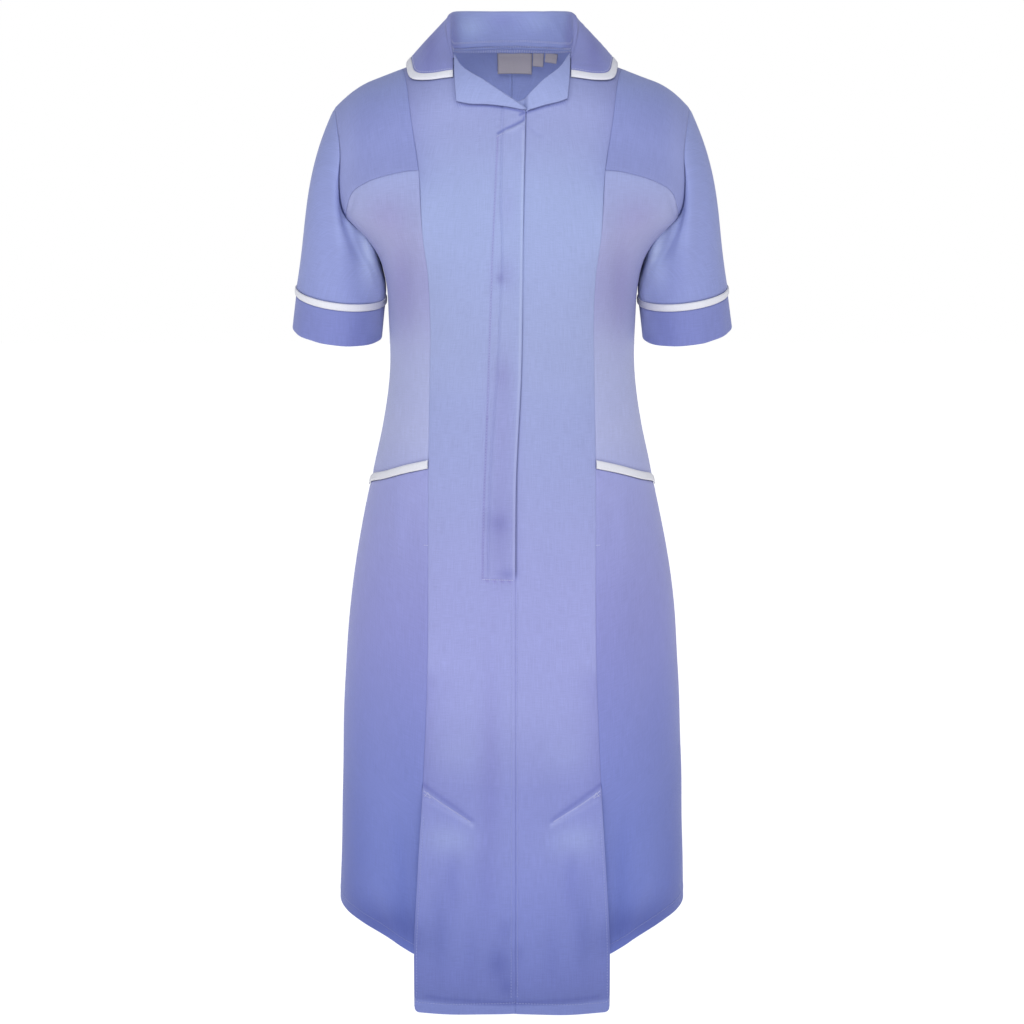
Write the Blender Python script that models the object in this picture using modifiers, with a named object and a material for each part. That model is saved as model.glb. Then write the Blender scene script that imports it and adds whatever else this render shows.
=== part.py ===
"""A nurse's tunic dress, worn and hollow: panels of cloth cut, shaped and sewn as the real dress is.

Metres, +Z up. The front faces -Y and the wearer's left is at +X. The origin is at the neck, level with
the seam at the nape, and the dress hangs below it. Every panel is a patch of one worn surface. A place
on that surface is (around, rise): around runs 0 at the centre front, 1 at the side seam and 2 at the
centre back, and rise is the height, measured along the cloth where it bends over the shoulder.
"""

import math

import bmesh
import bpy
import numpy as np

COLLECTION = "nurse_dress"

# Cloth and sewing
CLOTH = 0.0012
TRIM_CLOTH = 0.0016
LABEL_CLOTH = 0.0010
SEAM_GAP = 0.0004
LAYER = 0.0026
TRIM_WIDTH = 0.009
TRIM_LIFT = 0.0006

# Rows of a tall panel stand closer together towards its top by this power
TOP_CROWD = 1.7

# Lengths, down from the neck
ARMPIT = -0.226
YOKE_PRINCESS = -0.125
NOTCH = (-0.178, 0.183)
POCKET_BACK_END = -0.600
FLY_END = -0.567
PLEAT_TOP = -0.800
PLEAT_INNER = (-0.842, 0.046)
SIDE_HEM = -0.984
PLEAT_HEM = -1.006
FRONT_HEM = -1.051
FRONT_CORNER = -1.0565
BACK_HEM = -0.990

# Front edges of the pleats: how far forward they stand at the hem, and the turned-back strip behind them
PLEAT_KICK = 0.034
PLEAT_STEP = 0.012
RETURN_TOP = -0.832
RETURN_INSET = 0.0015
RETURN_INNER = ((PLEAT_HEM, 0.050), (-0.850, 0.050))
RETURN_KICK = 0.62

# Under layer of the fly: its top, and its reach each way from the fly's edge
PLACKET_TOP = -0.066
PLACKET_REACH = (-0.034, 0.012)
PLACKET_DROP = 0.0036

# Pocket: where its back layer starts to go behind, above the pocket's edge, and over what height
TUCK_START = 0.010
TUCK_HEIGHT = 0.022
SKIRT_TUCK = 0.006

# Shoulder: the cloth bends over it on a quarter ellipse of this height
SHOULDER_BEND = 0.070
SHOULDER_ARC = 0.126
SHOULDER_EASE = 0.016
SHOULDER_SLOPE = 0.39
SHOULDER_SEAM_Y = 0.005
NECK_REACH = 0.0725
NECK_ROUND = 0.030
TIP_START = 0.155
TIP_DROP = 8.1
TIP_HALF = 0.1977
SIDE_NECK = 0.0695

# Level sections of the worn body, each a rounded box of two halves
SECTION_COLUMNS = ("height", "half", "front", "back", "side", "front_power", "back_power")
SECTIONS = (
    (-0.045, 0.2150, 0.084, 0.098, 0.008, 2.30, 2.50),
    (-0.070, 0.2150, 0.097, 0.107, 0.008, 2.30, 2.50),
    (-0.120, 0.2150, 0.119, 0.120, 0.008, 2.30, 2.50),
    (-0.160, 0.2060, 0.134, 0.124, 0.008, 2.30, 2.50),
    (-0.180, 0.1925, 0.140, 0.124, 0.008, 2.35, 2.50),
    (-0.200, 0.1680, 0.145, 0.122, 0.008, 2.40, 2.50),
    (-0.215, 0.1550, 0.147, 0.119, 0.008, 2.40, 2.50),
    (-0.232, 0.1462, 0.148, 0.115, 0.008, 2.40, 2.45),
    (-0.255, 0.1412, 0.147, 0.110, 0.008, 2.35, 2.40),
    (-0.295, 0.1390, 0.137, 0.099, 0.007, 2.30, 2.35),
    (-0.335, 0.1380, 0.122, 0.089, 0.006, 2.25, 2.30),
    (-0.370, 0.1400, 0.114, 0.085, 0.006, 2.25, 2.25),
    (-0.415, 0.1470, 0.117, 0.093, 0.007, 2.30, 2.25),
    (-0.460, 0.1568, 0.123, 0.108, 0.008, 2.30, 2.30),
    (-0.530, 0.1718, 0.130, 0.126, 0.009, 2.35, 2.35),
    (-0.600, 0.1843, 0.135, 0.134, 0.010, 2.35, 2.40),
    (-0.700, 0.1935, 0.140, 0.136, 0.010, 2.35, 2.40),
    (-0.800, 0.1985, 0.145, 0.137, 0.010, 2.35, 2.40),
    (-0.900, 0.2015, 0.149, 0.139, 0.010, 2.35, 2.40),
    (-1.060, 0.2070, 0.155, 0.142, 0.010, 2.35, 2.40),
)
VIRTUAL_TOP = -0.120
BUST = {"half": 0.085, "height": -0.262, "width": 0.050, "length": 0.070, "depth": 0.008}

# Seams, as (rise, half width)
PRINCESS_TOP = 0.1215
PRINCESS = (
    (-0.017, 0.1140),
    (-0.078, 0.1067),
    (YOKE_PRINCESS, 0.0993),
    (-0.198, 0.0944),
    (-0.235, 0.0897),
    (-0.290, 0.0881),
    (-0.348, 0.0900),
    (-0.440, 0.0920),
    (-0.634, 0.0928),
    (-0.800, 0.0993),
    (-0.899, 0.1052),
    (-0.988, 0.1099),
    (-1.060, 0.1100),
)
ARMHOLE_FRONT = (
    (-0.040, 0.1945),
    (-0.068, 0.1915),
    (-0.093, 0.1880),
    (-0.114, 0.1867),
    (-0.141, 0.1880),
    (-0.161, 0.1875),
    NOTCH,
    (-0.190, 0.1730),
    (-0.201, 0.1620),
    (-0.212, 0.1545),
)
ARMHOLE_BACK = (
    (-0.050, 0.1905),
    (-0.090, 0.1850),
    (-0.130, 0.1830),
    (-0.165, 0.1800),
    (-0.190, 0.1685),
    (-0.208, 0.1560),
)
YOKE_SEAM = (
    (YOKE_PRINCESS, 0.0993),
    (-0.1264, 0.1140),
    (-0.1298, 0.1292),
    (-0.1338, 0.1435),
    (-0.1395, 0.1572),
    (-0.1507, 0.1732),
    NOTCH,
)
FLY_EDGE = (
    (-0.0628, 0.0139),
    (-0.156, 0.0118),
    (-0.346, 0.0092),
    (-0.465, 0.0037),
    (-0.567, 0.0030),
    (-1.060, 0.0030),
)
# Roll lines of the two lapels; the wearer's right one crosses the centre front
NECKLINES = {
    "right": ((-0.0628, -0.0139), (-0.0473, 0.0075), (-0.0324, 0.0268), (-0.0110, 0.0520), (0.0125, 0.0627)),
    "left": ((-0.0507, 0.0142), (-0.0321, 0.0311), (-0.0113, 0.0504), (0.0145, 0.0625)),
}
BACK_NECKLINE = ((0.0200, 0.0), (0.0246, 0.030), (0.0351, 0.055))
POCKET_EDGE = (
    (-0.4410, 0.0922),
    (-0.4484, 0.1148),
    (-0.4607, 0.1414),
    (-0.4714, 0.1575),
)
POCKET_SIDE = -0.4802
SKIRT_HEM = (
    (-1.0030, 0.1120),
    (-0.9962, 0.1273),
    (-0.9901, 0.1413),
    (-0.9840, 0.1629),
    (-0.9805, 0.1855),
    (-0.9805, 0.1960),
)

# Lapels: their free edge, from the tip at the fly to the corner and up to the collar
LAPEL_EDGES = {
    "right": ((-0.0634, -0.0117), (-0.0596, 0.0075), (-0.0566, 0.0267), (-0.0546, 0.0460), (-0.0505, 0.0572)),
    "left": ((-0.0640, 0.0160), (-0.0607, 0.0266), (-0.0562, 0.0405), (-0.0520, 0.0530), (-0.0490, 0.0589)),
}
LAPEL_OUTER = ((-0.0200, 0.0608), (0.0060, 0.0612))
LAPEL_TOP_DROP = 0.0014
# Lift of each row of a lapel off the front, from its free edge to its roll line, and its rise there
LAPEL_LIFTS = (0.0040, 0.0040, 0.0040, 0.0040, 0.0010)
LAPEL_RISES = (0.0, 0.0, 0.0, 0.0012, 0.0028)

# Collar, from the centre back (0) to its front end (1)
COLLAR_COLUMNS = ("along", "roll_x", "roll_y", "roll_z", "edge_x", "edge_y")
COLLAR = (
    (0.00, 0.0000, 0.0660, 0.0415, 0.0000, 0.0930),
    (0.20, 0.0335, 0.0620, 0.0415, 0.0420, 0.0880),
    (0.40, 0.0600, 0.0430, 0.0412, 0.0850, 0.0660),
    (0.55, 0.0685, 0.0200, 0.0372, 0.1090, 0.0370),
    (0.68, 0.0696, 0.0010, 0.0285, 0.1178, 0.0020),
    (0.78, 0.0687, -0.0153, 0.0169, 0.1162, -0.0330),
    (0.86, 0.0672, -0.0286, 0.0071, 0.1085, -0.0600),
    (0.93, 0.0655, -0.0390, 0.0005, 0.0900, -0.0722),
    (1.00, 0.0636, -0.0500, -0.0060, 0.0630, -0.0785),
)
COLLAR_ROLL = 0.0022
COLLAR_CLEAR = 0.0032
COLLAR_BOW = 0.0025
COLLAR_SHOULDER = 0.65
STAND_SHARES = (0.0, 0.5, 0.94)
STAND_LIFT = 0.0022
FALL_DROP = 0.0025
COLLAR_TRIM_LIFT = 0.0003

# Sleeve rings: centre, radii, how much the outer side is raised and the front lowered
RING_COLUMNS = ("x", "y", "z", "wide", "deep", "outer_rise", "front_drop")
RINGS = {
    "seam": (0.1925, 0.0030, -0.2664, 0.0500, 0.0570, 0.0062, 0.0070),
    "trim": (0.1930, 0.0032, -0.2754, 0.0500, 0.0570, 0.0062, 0.0078),
    "hem": (0.1975, 0.0050, -0.3070, 0.0500, 0.0575, 0.0050, 0.0125),
}
ARM_LEAN = (0.19, 0.02, -0.98)
CAP_BULGE = 0.052
SEAM_LEAVE = 0.040
SLEEVE_GAP = 0.0046
SLEEVE_END_GAP = 0.02
CUFF_GAP = 0.015
CUFF_TRIM_LIFT = 0.0005

# The label at the nape and its two size tabs: half widths, then rises
LABELS = {
    "neck_label": (-0.0167, 0.0231, -0.0183, 0.0134),
    "size_tab_inner": (0.0243, 0.0364, -0.0046, 0.0165),
    "size_tab_outer": (0.0384, 0.0517, 0.0054, 0.0205),
}
LABEL_DROP = 0.0024

# Colours and roughness of the cloth, the trim and the labels
FINISHES = {
    "uniform_cloth": ((0.345, 0.385, 0.700), 0.62),
    "white_trim": ((0.850, 0.845, 0.865), 0.70),
    "label_cloth": ((0.330, 0.300, 0.340), 0.60),
}

SIDES = {"right": -1, "left": 1}


def monotone(knots, values):
    """A smooth curve through the values that adds no waves of its own, as a function of place."""
    knots = np.asarray(knots, float)
    values = np.asarray(values, float)
    gaps = np.diff(knots)
    slopes = np.diff(values) / gaps
    tangents = np.concatenate([slopes[:1], (slopes[1:] + slopes[:-1]) / 2, slopes[-1:]])
    for i in range(1, len(slopes)):
        if slopes[i - 1] * slopes[i] <= 0:
            tangents[i] = 0.0
        else:
            most = 3 * min(abs(slopes[i - 1]), abs(slopes[i]))
            tangents[i] = np.clip(tangents[i], -most, most)

    def curve(place):
        place = np.clip(place, knots[0], knots[-1])
        i = np.clip(np.searchsorted(knots, place, side="right") - 1, 0, len(gaps) - 1)
        t = (place - knots[i]) / gaps[i]
        low = values[i] * (1 + 2 * t) * (1 - t) ** 2 + values[i + 1] * t * t * (3 - 2 * t)
        bend = tangents[i] * t * (1 - t) ** 2 - tangents[i + 1] * t * t * (1 - t)
        return low + bend * gaps[i]

    return curve


def section_curves():
    rows = np.array(sorted(SECTIONS))
    return {
        name: monotone(rows[:, 0], rows[:, i])
        for i, name in enumerate(SECTION_COLUMNS)
        if name != "height"
    }


SECTION = section_curves()


def shoulder_height(half):
    """Height of the shoulder seam above a place this far from the middle."""
    slope = SHOULDER_SLOPE * (NECK_REACH - np.hypot(half, NECK_ROUND))
    return slope - TIP_DROP * np.maximum(half - TIP_START, 0) ** 2


def shoulder_rise(half):
    return shoulder_height(half) - SHOULDER_BEND + SHOULDER_ARC


def depth(half, height, back):
    """How far the body stands forward (or back) of y = 0 at this place, as a signed y."""
    wide = SECTION["half"](height)
    side = SECTION["side"](height)
    power = SECTION["back_power" if back else "front_power"](height)
    reach = SECTION["back" if back else "front"](height)
    share = np.clip(1 - np.clip(np.abs(half) / wide, 0, 1) ** power, 0, 1) ** (1 / power)
    if back:
        return side + (reach - side) * share
    bust = BUST["depth"] * np.exp(
        -(((np.abs(half) - BUST["half"]) / BUST["width"]) ** 2)
        - ((height - BUST["height"]) / BUST["length"]) ** 2
    )
    return side - (reach + side) * share - bust * share


def half_at(around, rise):
    """Half width at this place: the way round follows the section as an angle would."""
    level = np.minimum(rise, VIRTUAL_TOP)
    wide = SECTION["half"](level)
    back = around > 1
    power = np.where(back, SECTION["back_power"](level), SECTION["front_power"](level))
    angle = np.where(back, 2 - around, around) * math.pi / 2
    size = (np.abs(np.sin(angle)) ** power + np.abs(np.cos(angle)) ** power) ** (1 / power)
    return wide * np.sin(angle) / size


def around_at(half, rise, back=False):
    """The way round at which the surface has this half width."""
    level = np.minimum(rise, VIRTUAL_TOP)
    power = SECTION["back_power" if back else "front_power"](level)
    share = np.clip(np.abs(half) / SECTION["half"](level), 0, 0.999999) ** power
    angle = np.arctan((share / (1 - share)) ** (1 / power)) * np.sign(half) / (math.pi / 2)
    return 2 - angle if back else angle


def surface(around, rise):
    """Points of the worn surface, bending over the shoulder near its top."""
    around, rise = np.broadcast_arrays(np.asarray(around, float), np.asarray(rise, float))
    half = half_at(around, rise)
    top = shoulder_height(half) - SHOULDER_BEND
    level = np.minimum(rise, top)
    eased = (rise + top - np.hypot(rise - top, SHOULDER_EASE)) / 2
    place = half * SECTION["half"](eased) / SECTION["half"](np.minimum(rise, VIRTUAL_TOP))
    y = np.where(around > 1, depth(place, eased, True), depth(place, eased, False))
    turn = np.clip((rise - top) / SHOULDER_ARC, 0, 1) * math.pi / 2
    y = SHOULDER_SEAM_Y + (y - SHOULDER_SEAM_Y) * np.cos(turn)
    z = level + SHOULDER_BEND * np.sin(turn)
    return np.stack([half, y, z], axis=-1)


def outward(around, rise):
    """Unit normals of the worn surface, pointing away from the wearer."""
    step = 1e-4
    across = surface(around + step, rise) - surface(around - step, rise)
    along = surface(around, rise + step) - surface(around, rise - step)
    normal = np.cross(across, along)
    return normal / np.linalg.norm(normal, axis=-1, keepdims=True)


def seam(table, back=False):
    """A seam through (rise, half width) rows, as a function of 0 to 1 giving (around, rise)."""
    rows = np.asarray(table, float)
    steps = np.hypot(np.diff(rows[:, 0]), np.diff(rows[:, 1]))
    marks = np.concatenate([[0], np.cumsum(steps)]) / steps.sum()
    rise, half = monotone(marks, rows[:, 0]), monotone(marks, rows[:, 1])

    def curve(t):
        return around_at(half(t), rise(t), back), rise(t)

    return curve


def shoulder_seam(inner, outer, back=False):
    """The shoulder seam between two half widths, as a function of 0 to 1."""

    def curve(t):
        half = inner + (outer - inner) * t
        return around_at(half, shoulder_rise(half), back), shoulder_rise(half)

    return curve


def joined(*parts):
    """Curves one after another, each taking its share of the way: (share, curve), ..."""
    shares = np.array([share for share, _ in parts], float)
    ends = np.concatenate([[0], np.cumsum(shares / shares.sum())])

    def curve(t):
        t = np.atleast_1d(t)
        place = np.zeros((2, len(t)))
        for (_, part), low, high in zip(parts, ends[:-1], ends[1:]):
            here = (t >= low - 1e-9) & (t <= high + 1e-9)
            place[:, here] = part(np.clip((t[here] - low) / (high - low), 0, 1))
        return place[0], place[1]

    return curve


def straight(start, end):
    def curve(t):
        return start[0] + (end[0] - start[0]) * t, start[1] + (end[1] - start[1]) * t

    return curve


def patch(inner, outer, bottom, top, columns, rows, crowd=1.0):
    """(around, rise) over a four-sided panel, blended from its edges. Rows crowd towards its top."""
    u = np.linspace(0, 1, columns + 1)
    v = 1 - (1 - np.linspace(0, 1, rows + 1)) ** crowd
    low, high = np.array(bottom(u)), np.array(top(u))
    near, far = np.array(inner(v)), np.array(outer(v))
    across, along = np.meshgrid(u, v)
    blend = (1 - along) * low[:, None, :] + along * high[:, None, :]
    blend += (1 - across) * near[:, :, None] + across * far[:, :, None]
    for corner, weight in (
        (low[:, 0], (1 - across) * (1 - along)),
        (low[:, -1], across * (1 - along)),
        (high[:, 0], (1 - across) * along),
        (high[:, -1], across * along),
    ):
        blend -= corner[:, None, None] * weight
    return blend[0], blend[1]


def inset(points, amount, closed=False):
    """The grid with its edges drawn in, so that pieces stay apart at a seam."""

    def pull(edge, inside):
        way = inside - edge
        return edge + way / np.linalg.norm(way, axis=-1, keepdims=True) * amount

    points = points.copy()
    points[0], points[-1] = pull(points[0], points[1]), pull(points[-1], points[-2])
    if not closed:
        points[:, 0], points[:, -1] = pull(points[:, 0], points[:, 1]), pull(points[:, -1], points[:, -2])
    return points


def material(name, colour, roughness):
    made = bpy.data.materials.new(name)
    made.use_nodes = True
    shader = made.node_tree.nodes["Principled BSDF"]
    shader.inputs["Base Color"].default_value = (*colour, 1)
    shader.inputs["Roughness"].default_value = roughness
    shader.inputs["Metallic"].default_value = 0
    made.diffuse_color = (*colour, 1)
    return made


def sheet(name, points, finish, side=1, thickness=CLOTH, closed=False, even=True):
    """A wall of cloth behind a grid of points, which is mirrored to the wearer's right for side -1."""
    rows, columns = points.shape[0] - 1, points.shape[1] - 1
    cloth = bmesh.new()
    bmesh.ops.create_grid(cloth, x_segments=columns, y_segments=rows, size=0.5)
    for vertex in cloth.verts:
        column, row = round((vertex.co.x + 0.5) * columns), round((vertex.co.y + 0.5) * rows)
        vertex.co = points[row, column] * (side, 1, 1)
    if closed:
        bmesh.ops.remove_doubles(cloth, verts=cloth.verts, dist=1e-6)
    if side < 0:
        bmesh.ops.reverse_faces(cloth, faces=cloth.faces)
    mesh = bpy.data.meshes.new(name)
    cloth.to_mesh(mesh)
    cloth.free()
    mesh.materials.append(finish)
    mesh.shade_smooth()
    piece = bpy.data.objects.new(name, mesh)
    wall = piece.modifiers.new("wall", "SOLIDIFY")
    wall.thickness = thickness
    wall.offset = -1
    wall.use_even_offset = even
    bpy.data.collections[COLLECTION].objects.link(piece)
    return piece


def pull_forward(rise):
    """How far the front stands forward of the body below the top of its pleats."""
    share = np.clip((PLEAT_TOP - rise) / (PLEAT_TOP - FRONT_HEM), 0, None)
    return PLEAT_KICK * share


def laid(place, offset=0.0):
    """Points at this offset from the worn surface."""
    around, rise = place
    return surface(around, rise) + outward(around, rise) * np.asarray(offset)[..., None]


def rows_between(table, low, high):
    """A seam's rows between two rises, lowest first, with its ends exactly there."""
    rows = np.array(sorted(table))
    half = monotone(rows[:, 0], rows[:, 1])
    inside = [rise for rise in rows[:, 0] if low < rise < high]
    return [(rise, float(half(rise))) for rise in (low, *inside, high)]


def princess(low, high=None):
    table = (*PRINCESS, (shoulder_rise(PRINCESS_TOP), PRINCESS_TOP))
    return rows_between(table, low, shoulder_rise(PRINCESS_TOP) if high is None else high)


def princess_half(rise):
    rows = np.array(sorted(PRINCESS))
    return monotone(rows[:, 0], rows[:, 1])(rise)


def armhole(table):
    """An armhole's rows from the shoulder tip down to the armpit."""
    armpit = (ARMPIT, float(SECTION["half"](ARMPIT)))
    return [(float(shoulder_rise(TIP_HALF)), TIP_HALF), *table, armpit]


def side_seam(low, high=ARMPIT):
    return straight((1.0, low), (1.0, high))


def level_seam(start, end):
    """A nearly level seam between two (rise, half width) rows, even in its way round."""
    ends = [(float(around_at(half, rise)), rise) for rise, half in (start, end)]
    return straight(*ends)


def fronts(finish):
    """The two centre fronts, which meet at the fly's edge and hang free below the pleats."""
    side_neck = (float(shoulder_rise(SIDE_NECK)), SIDE_NECK)
    for name, side in SIDES.items():
        edge = [(rise, x * side + (SEAM_GAP if side > 0 else 0)) for rise, x in FLY_EDGE]
        top = NECKLINES[name][0]
        inner = rows_between(edge, FRONT_HEM, top[0])
        inner[-1] = top
        outer = princess(FRONT_CORNER)
        place = patch(
            seam(inner),
            seam(outer),
            level_seam(inner[0], outer[0]),
            joined((2, seam((*NECKLINES[name], side_neck))), (1, shoulder_seam(SIDE_NECK, PRINCESS_TOP))),
            8,
            23,
            TOP_CROWD,
        )
        points = laid(place)
        points[..., 1] -= pull_forward(place[1])
        sheet(f"front_{name}", inset(points, SEAM_GAP), finish, side)


def side_fronts(finish):
    """The side bodices, whose hidden ends below the pocket edge are the backs of the pockets."""
    for name, side in SIDES.items():
        inner = princess(POCKET_BACK_END, YOKE_PRINCESS)
        lower_armhole = [row for row in armhole(ARMHOLE_FRONT) if row[0] <= NOTCH[0]]
        place = patch(
            seam(inner),
            side_seam(POCKET_BACK_END),
            straight((float(around_at(inner[0][1], inner[0][0])), POCKET_BACK_END), (1.0, POCKET_BACK_END)),
            joined((2, seam(YOKE_SEAM)), (1, seam(lower_armhole))),
            9,
            13,
        )
        below = pocket_rise(place[0]) + TUCK_START - place[1]
        tuck = np.clip(below / TUCK_HEIGHT, 0, 1)
        points = laid(place, -LAYER * tuck * tuck * (3 - 2 * tuck))
        sheet(f"side_front_{name}", inset(points, 2 * SEAM_GAP), finish, side)


def pocket_rise(around):
    """Height of the pocket's edge at this way round, level past the side seam."""
    rows = [(float(around_at(half, rise)), rise) for rise, half in POCKET_EDGE]
    ways, rises = zip(*rows, (1.0, POCKET_SIDE))
    return monotone(ways, rises)(around)


def pocket_seam(drop):
    """A seam along the pocket's edge, this far below it, from the princess seam to the side seam."""
    start = float(around_at(POCKET_EDGE[0][1], POCKET_EDGE[0][0]))

    def curve(t):
        around = start + (1 - start) * t
        return around, pocket_rise(around) - drop

    return curve


def pocket_trims(finish):
    for name, side in SIDES.items():
        start, end = pocket_seam(0.0)(np.array([0.0, 1.0]))[1]
        half = POCKET_EDGE[0][1]
        place = patch(
            level_seam((start - TRIM_WIDTH, half), (start, half)),
            side_seam(end - TRIM_WIDTH, end),
            pocket_seam(TRIM_WIDTH),
            pocket_seam(0.0),
            9,
            1,
        )
        sheet(f"pocket_trim_{name}", inset(laid(place, TRIM_LIFT), SEAM_GAP), finish, side, TRIM_CLOTH)


def side_skirts(finish):
    """The skirt's sides, which reach in behind the front below the top of each pleat."""
    for name, side in SIDES.items():
        top = pocket_seam(TRIM_WIDTH)
        start, end = top(np.array([0.0, 1.0]))[1]
        hidden = [(PLEAT_HEM, PLEAT_INNER[1]), PLEAT_INNER]
        upper = princess(PLEAT_TOP - PLEAT_STEP, float(start))
        upper[-1] = (float(start), POCKET_EDGE[0][1])
        inner_hem = (float(around_at(PLEAT_INNER[1], PLEAT_HEM)), PLEAT_HEM)
        start_hem, end_hem = np.array(seam(SKIRT_HEM)(np.array([0.0, 1.0]))).T
        place = patch(
            joined((3, seam(hidden)), (1, seam([PLEAT_INNER, upper[0]])), (6, seam(upper))),
            side_seam(SIDE_HEM, float(end)),
            joined(
                (3, straight(inner_hem, start_hem)),
                (5, seam(SKIRT_HEM)),
                (2, straight(end_hem, (1.0, SIDE_HEM))),
            ),
            top,
            8,
            15,
        )
        behind = np.clip((princess_half(place[1]) - half_at(*place)) / SKIRT_TUCK, 0, 1)
        sheet(f"side_skirt_{name}", inset(laid(place, -LAYER * behind), SEAM_GAP), finish, side)


def pleat_returns(finish):
    """The turned-back edge of the front at each pleat, between the front and the skirt's side."""
    for name, side in SIDES.items():
        outer = [(rise, half - RETURN_INSET) for rise, half in princess(PLEAT_HEM, RETURN_TOP)]
        place = patch(
            seam(RETURN_INNER),
            seam(outer),
            level_seam(RETURN_INNER[0], outer[0]),
            level_seam(RETURN_INNER[1], outer[-1]),
            3,
            6,
        )
        points = laid(place)
        points[..., 1] -= RETURN_KICK * pull_forward(place[1])
        sheet(f"pleat_return_{name}", points, finish, side)


def backs(finish):
    """The two back panels, which meet at the centre back."""
    for name, side in SIDES.items():
        nape = BACK_NECKLINE[0]
        neck = ((float(shoulder_rise(SIDE_NECK)), SIDE_NECK), *BACK_NECKLINE[::-1])
        place = patch(
            joined((3, side_seam(SIDE_HEM)), (1, seam(armhole(ARMHOLE_BACK)[::-1], back=True))),
            straight((2.0, BACK_HEM), (2.0, nape[0])),
            straight((1.0, SIDE_HEM), (2.0, BACK_HEM)),
            joined((2, shoulder_seam(TIP_HALF, SIDE_NECK, back=True)), (1, seam(neck, back=True))),
            8,
            17,
            TOP_CROWD,
        )
        sheet(f"back_{name}", inset(laid(place), SEAM_GAP), finish, side)


def yokes(finish):
    for name, side in SIDES.items():
        upper_armhole = [row for row in armhole(ARMHOLE_FRONT) if row[0] >= NOTCH[0]][::-1]
        place = patch(
            seam(princess(YOKE_PRINCESS)),
            seam(upper_armhole),
            seam(YOKE_SEAM),
            shoulder_seam(PRINCESS_TOP, TIP_HALF),
            6,
            8,
        )
        sheet(f"yoke_{name}", inset(laid(place), SEAM_GAP), finish, side)


def placket(finish):
    """The fly's under layer, behind the meeting edges of the two fronts."""
    line = rows_between(FLY_EDGE, FLY_END, PLACKET_TOP)
    inner, outer = ([(rise, x + reach) for rise, x in line] for reach in PLACKET_REACH)
    place = patch(
        seam(inner),
        seam(outer),
        level_seam(inner[0], outer[0]),
        level_seam(inner[-1], outer[-1]),
        3,
        12,
    )
    sheet("front_placket", laid(place, -PLACKET_DROP), finish)


def lapels(finish):
    """Each front's top, turned out over it along the roll line."""
    for name, side in SIDES.items():
        roll, free = NECKLINES[name], LAPEL_EDGES[name]
        outer = (free[-1], *LAPEL_OUTER, (roll[-1][0], roll[-1][1] - LAPEL_TOP_DROP))
        place = patch(
            level_seam(free[0], roll[0]),
            seam(outer),
            seam(free),
            seam((*roll[:-1], outer[-1])),
            9,
            4,
        )
        points = laid(place, np.array(LAPEL_LIFTS)[:, None] * np.ones(10))
        points[..., 2] += np.array(LAPEL_RISES)[:, None]
        sheet(f"lapel_{name}", points, finish, side)


def collar_lines(along):
    """Roll line, outer edge and neck seam of the collar at these places, in world axes."""
    rows = np.array(COLLAR)
    line = {name: monotone(rows[:, 0], rows[:, i])(np.abs(along)) for i, name in enumerate(COLLAR_COLUMNS)}
    turn = np.where(along < 0, -1.0, 1.0)
    roll = np.stack([line["roll_x"] * turn, line["roll_y"], line["roll_z"]], axis=-1)
    edge_z = surface_height(line["edge_x"], line["edge_y"]) + COLLAR_CLEAR
    edge = np.stack([line["edge_x"] * turn, line["edge_y"], edge_z], axis=-1)
    side_neck = (float(shoulder_rise(SIDE_NECK)), SIDE_NECK)
    back_seam = seam((*BACK_NECKLINE, side_neck), back=True)
    front_seam = seam((side_neck, NECKLINES["left"][-1]))
    way = np.abs(along)
    behind = surface(*back_seam(np.clip(way / COLLAR_SHOULDER, 0, 1)))
    before = surface(*front_seam(np.clip((way - COLLAR_SHOULDER) / (1 - COLLAR_SHOULDER), 0, 1)))
    neck = np.where((way < COLLAR_SHOULDER)[:, None], behind, before)
    neck[:, 0] *= turn
    neck[:, 2] += STAND_LIFT
    return roll, edge, neck


def surface_height(half, y):
    """Height of the shoulder's surface over a place given from above."""
    top = shoulder_height(half) - SHOULDER_BEND
    far = np.where(y > SHOULDER_SEAM_Y, depth(half, top, True), depth(half, top, False))
    share = np.clip((y - SHOULDER_SEAM_Y) / (far - SHOULDER_SEAM_Y), 0, 1)
    return top + SHOULDER_BEND * np.sqrt(1 - share * share)


def collar(cloth, trim):
    """The collar stands round the neck, turns over its roll line and falls to its trimmed edge."""
    along = np.linspace(-1, 1, 25)
    roll, edge, neck = collar_lines(along)
    away = (edge - roll) * (1, 1, 0)
    away /= np.linalg.norm(away, axis=1, keepdims=True)
    up = np.array([0, 0, 1.0])
    stand = [neck + (roll - away * COLLAR_ROLL - neck) * share for share in STAND_SHARES]
    turned = [
        roll + COLLAR_ROLL * (away * -math.cos(angle) + up * (math.sin(angle) - 1))
        for angle in (math.radians(30), math.radians(90), math.radians(150))
    ]
    start = roll + away * COLLAR_ROLL - up * FALL_DROP
    reach = np.linalg.norm(edge - start, axis=1, keepdims=True)
    bow = np.cross(edge - start, np.cross(up, away))
    bow *= COLLAR_BOW / np.linalg.norm(bow, axis=1, keepdims=True)

    def fall(share):
        return start + (edge - start) * share + bow * 4 * share * (1 - share)

    stop = 1 - (TRIM_WIDTH + 2 * SEAM_GAP) / reach
    rows = [*stand, *turned, start, fall(stop / 3), fall(stop * 2 / 3), fall(stop)]
    sheet("collar", np.array(rows)[:, ::-1], cloth, even=False)
    width = np.array([fall(1 - TRIM_WIDTH / reach), edge]) + up * COLLAR_TRIM_LIFT
    sheet("collar_trim", width[:, ::-1], trim, thickness=TRIM_CLOTH)


def ring(name, turn):
    """Points round a sleeve, from its outer side to the front, the body and the back."""
    x, y, z, wide, deep, outer_rise, front_drop = RINGS[name]
    return np.stack(
        [
            x + wide * np.cos(turn),
            y - deep * np.sin(turn),
            z + outer_rise * np.cos(turn) - front_drop * np.sin(turn),
        ],
        axis=-1,
    )


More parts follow.
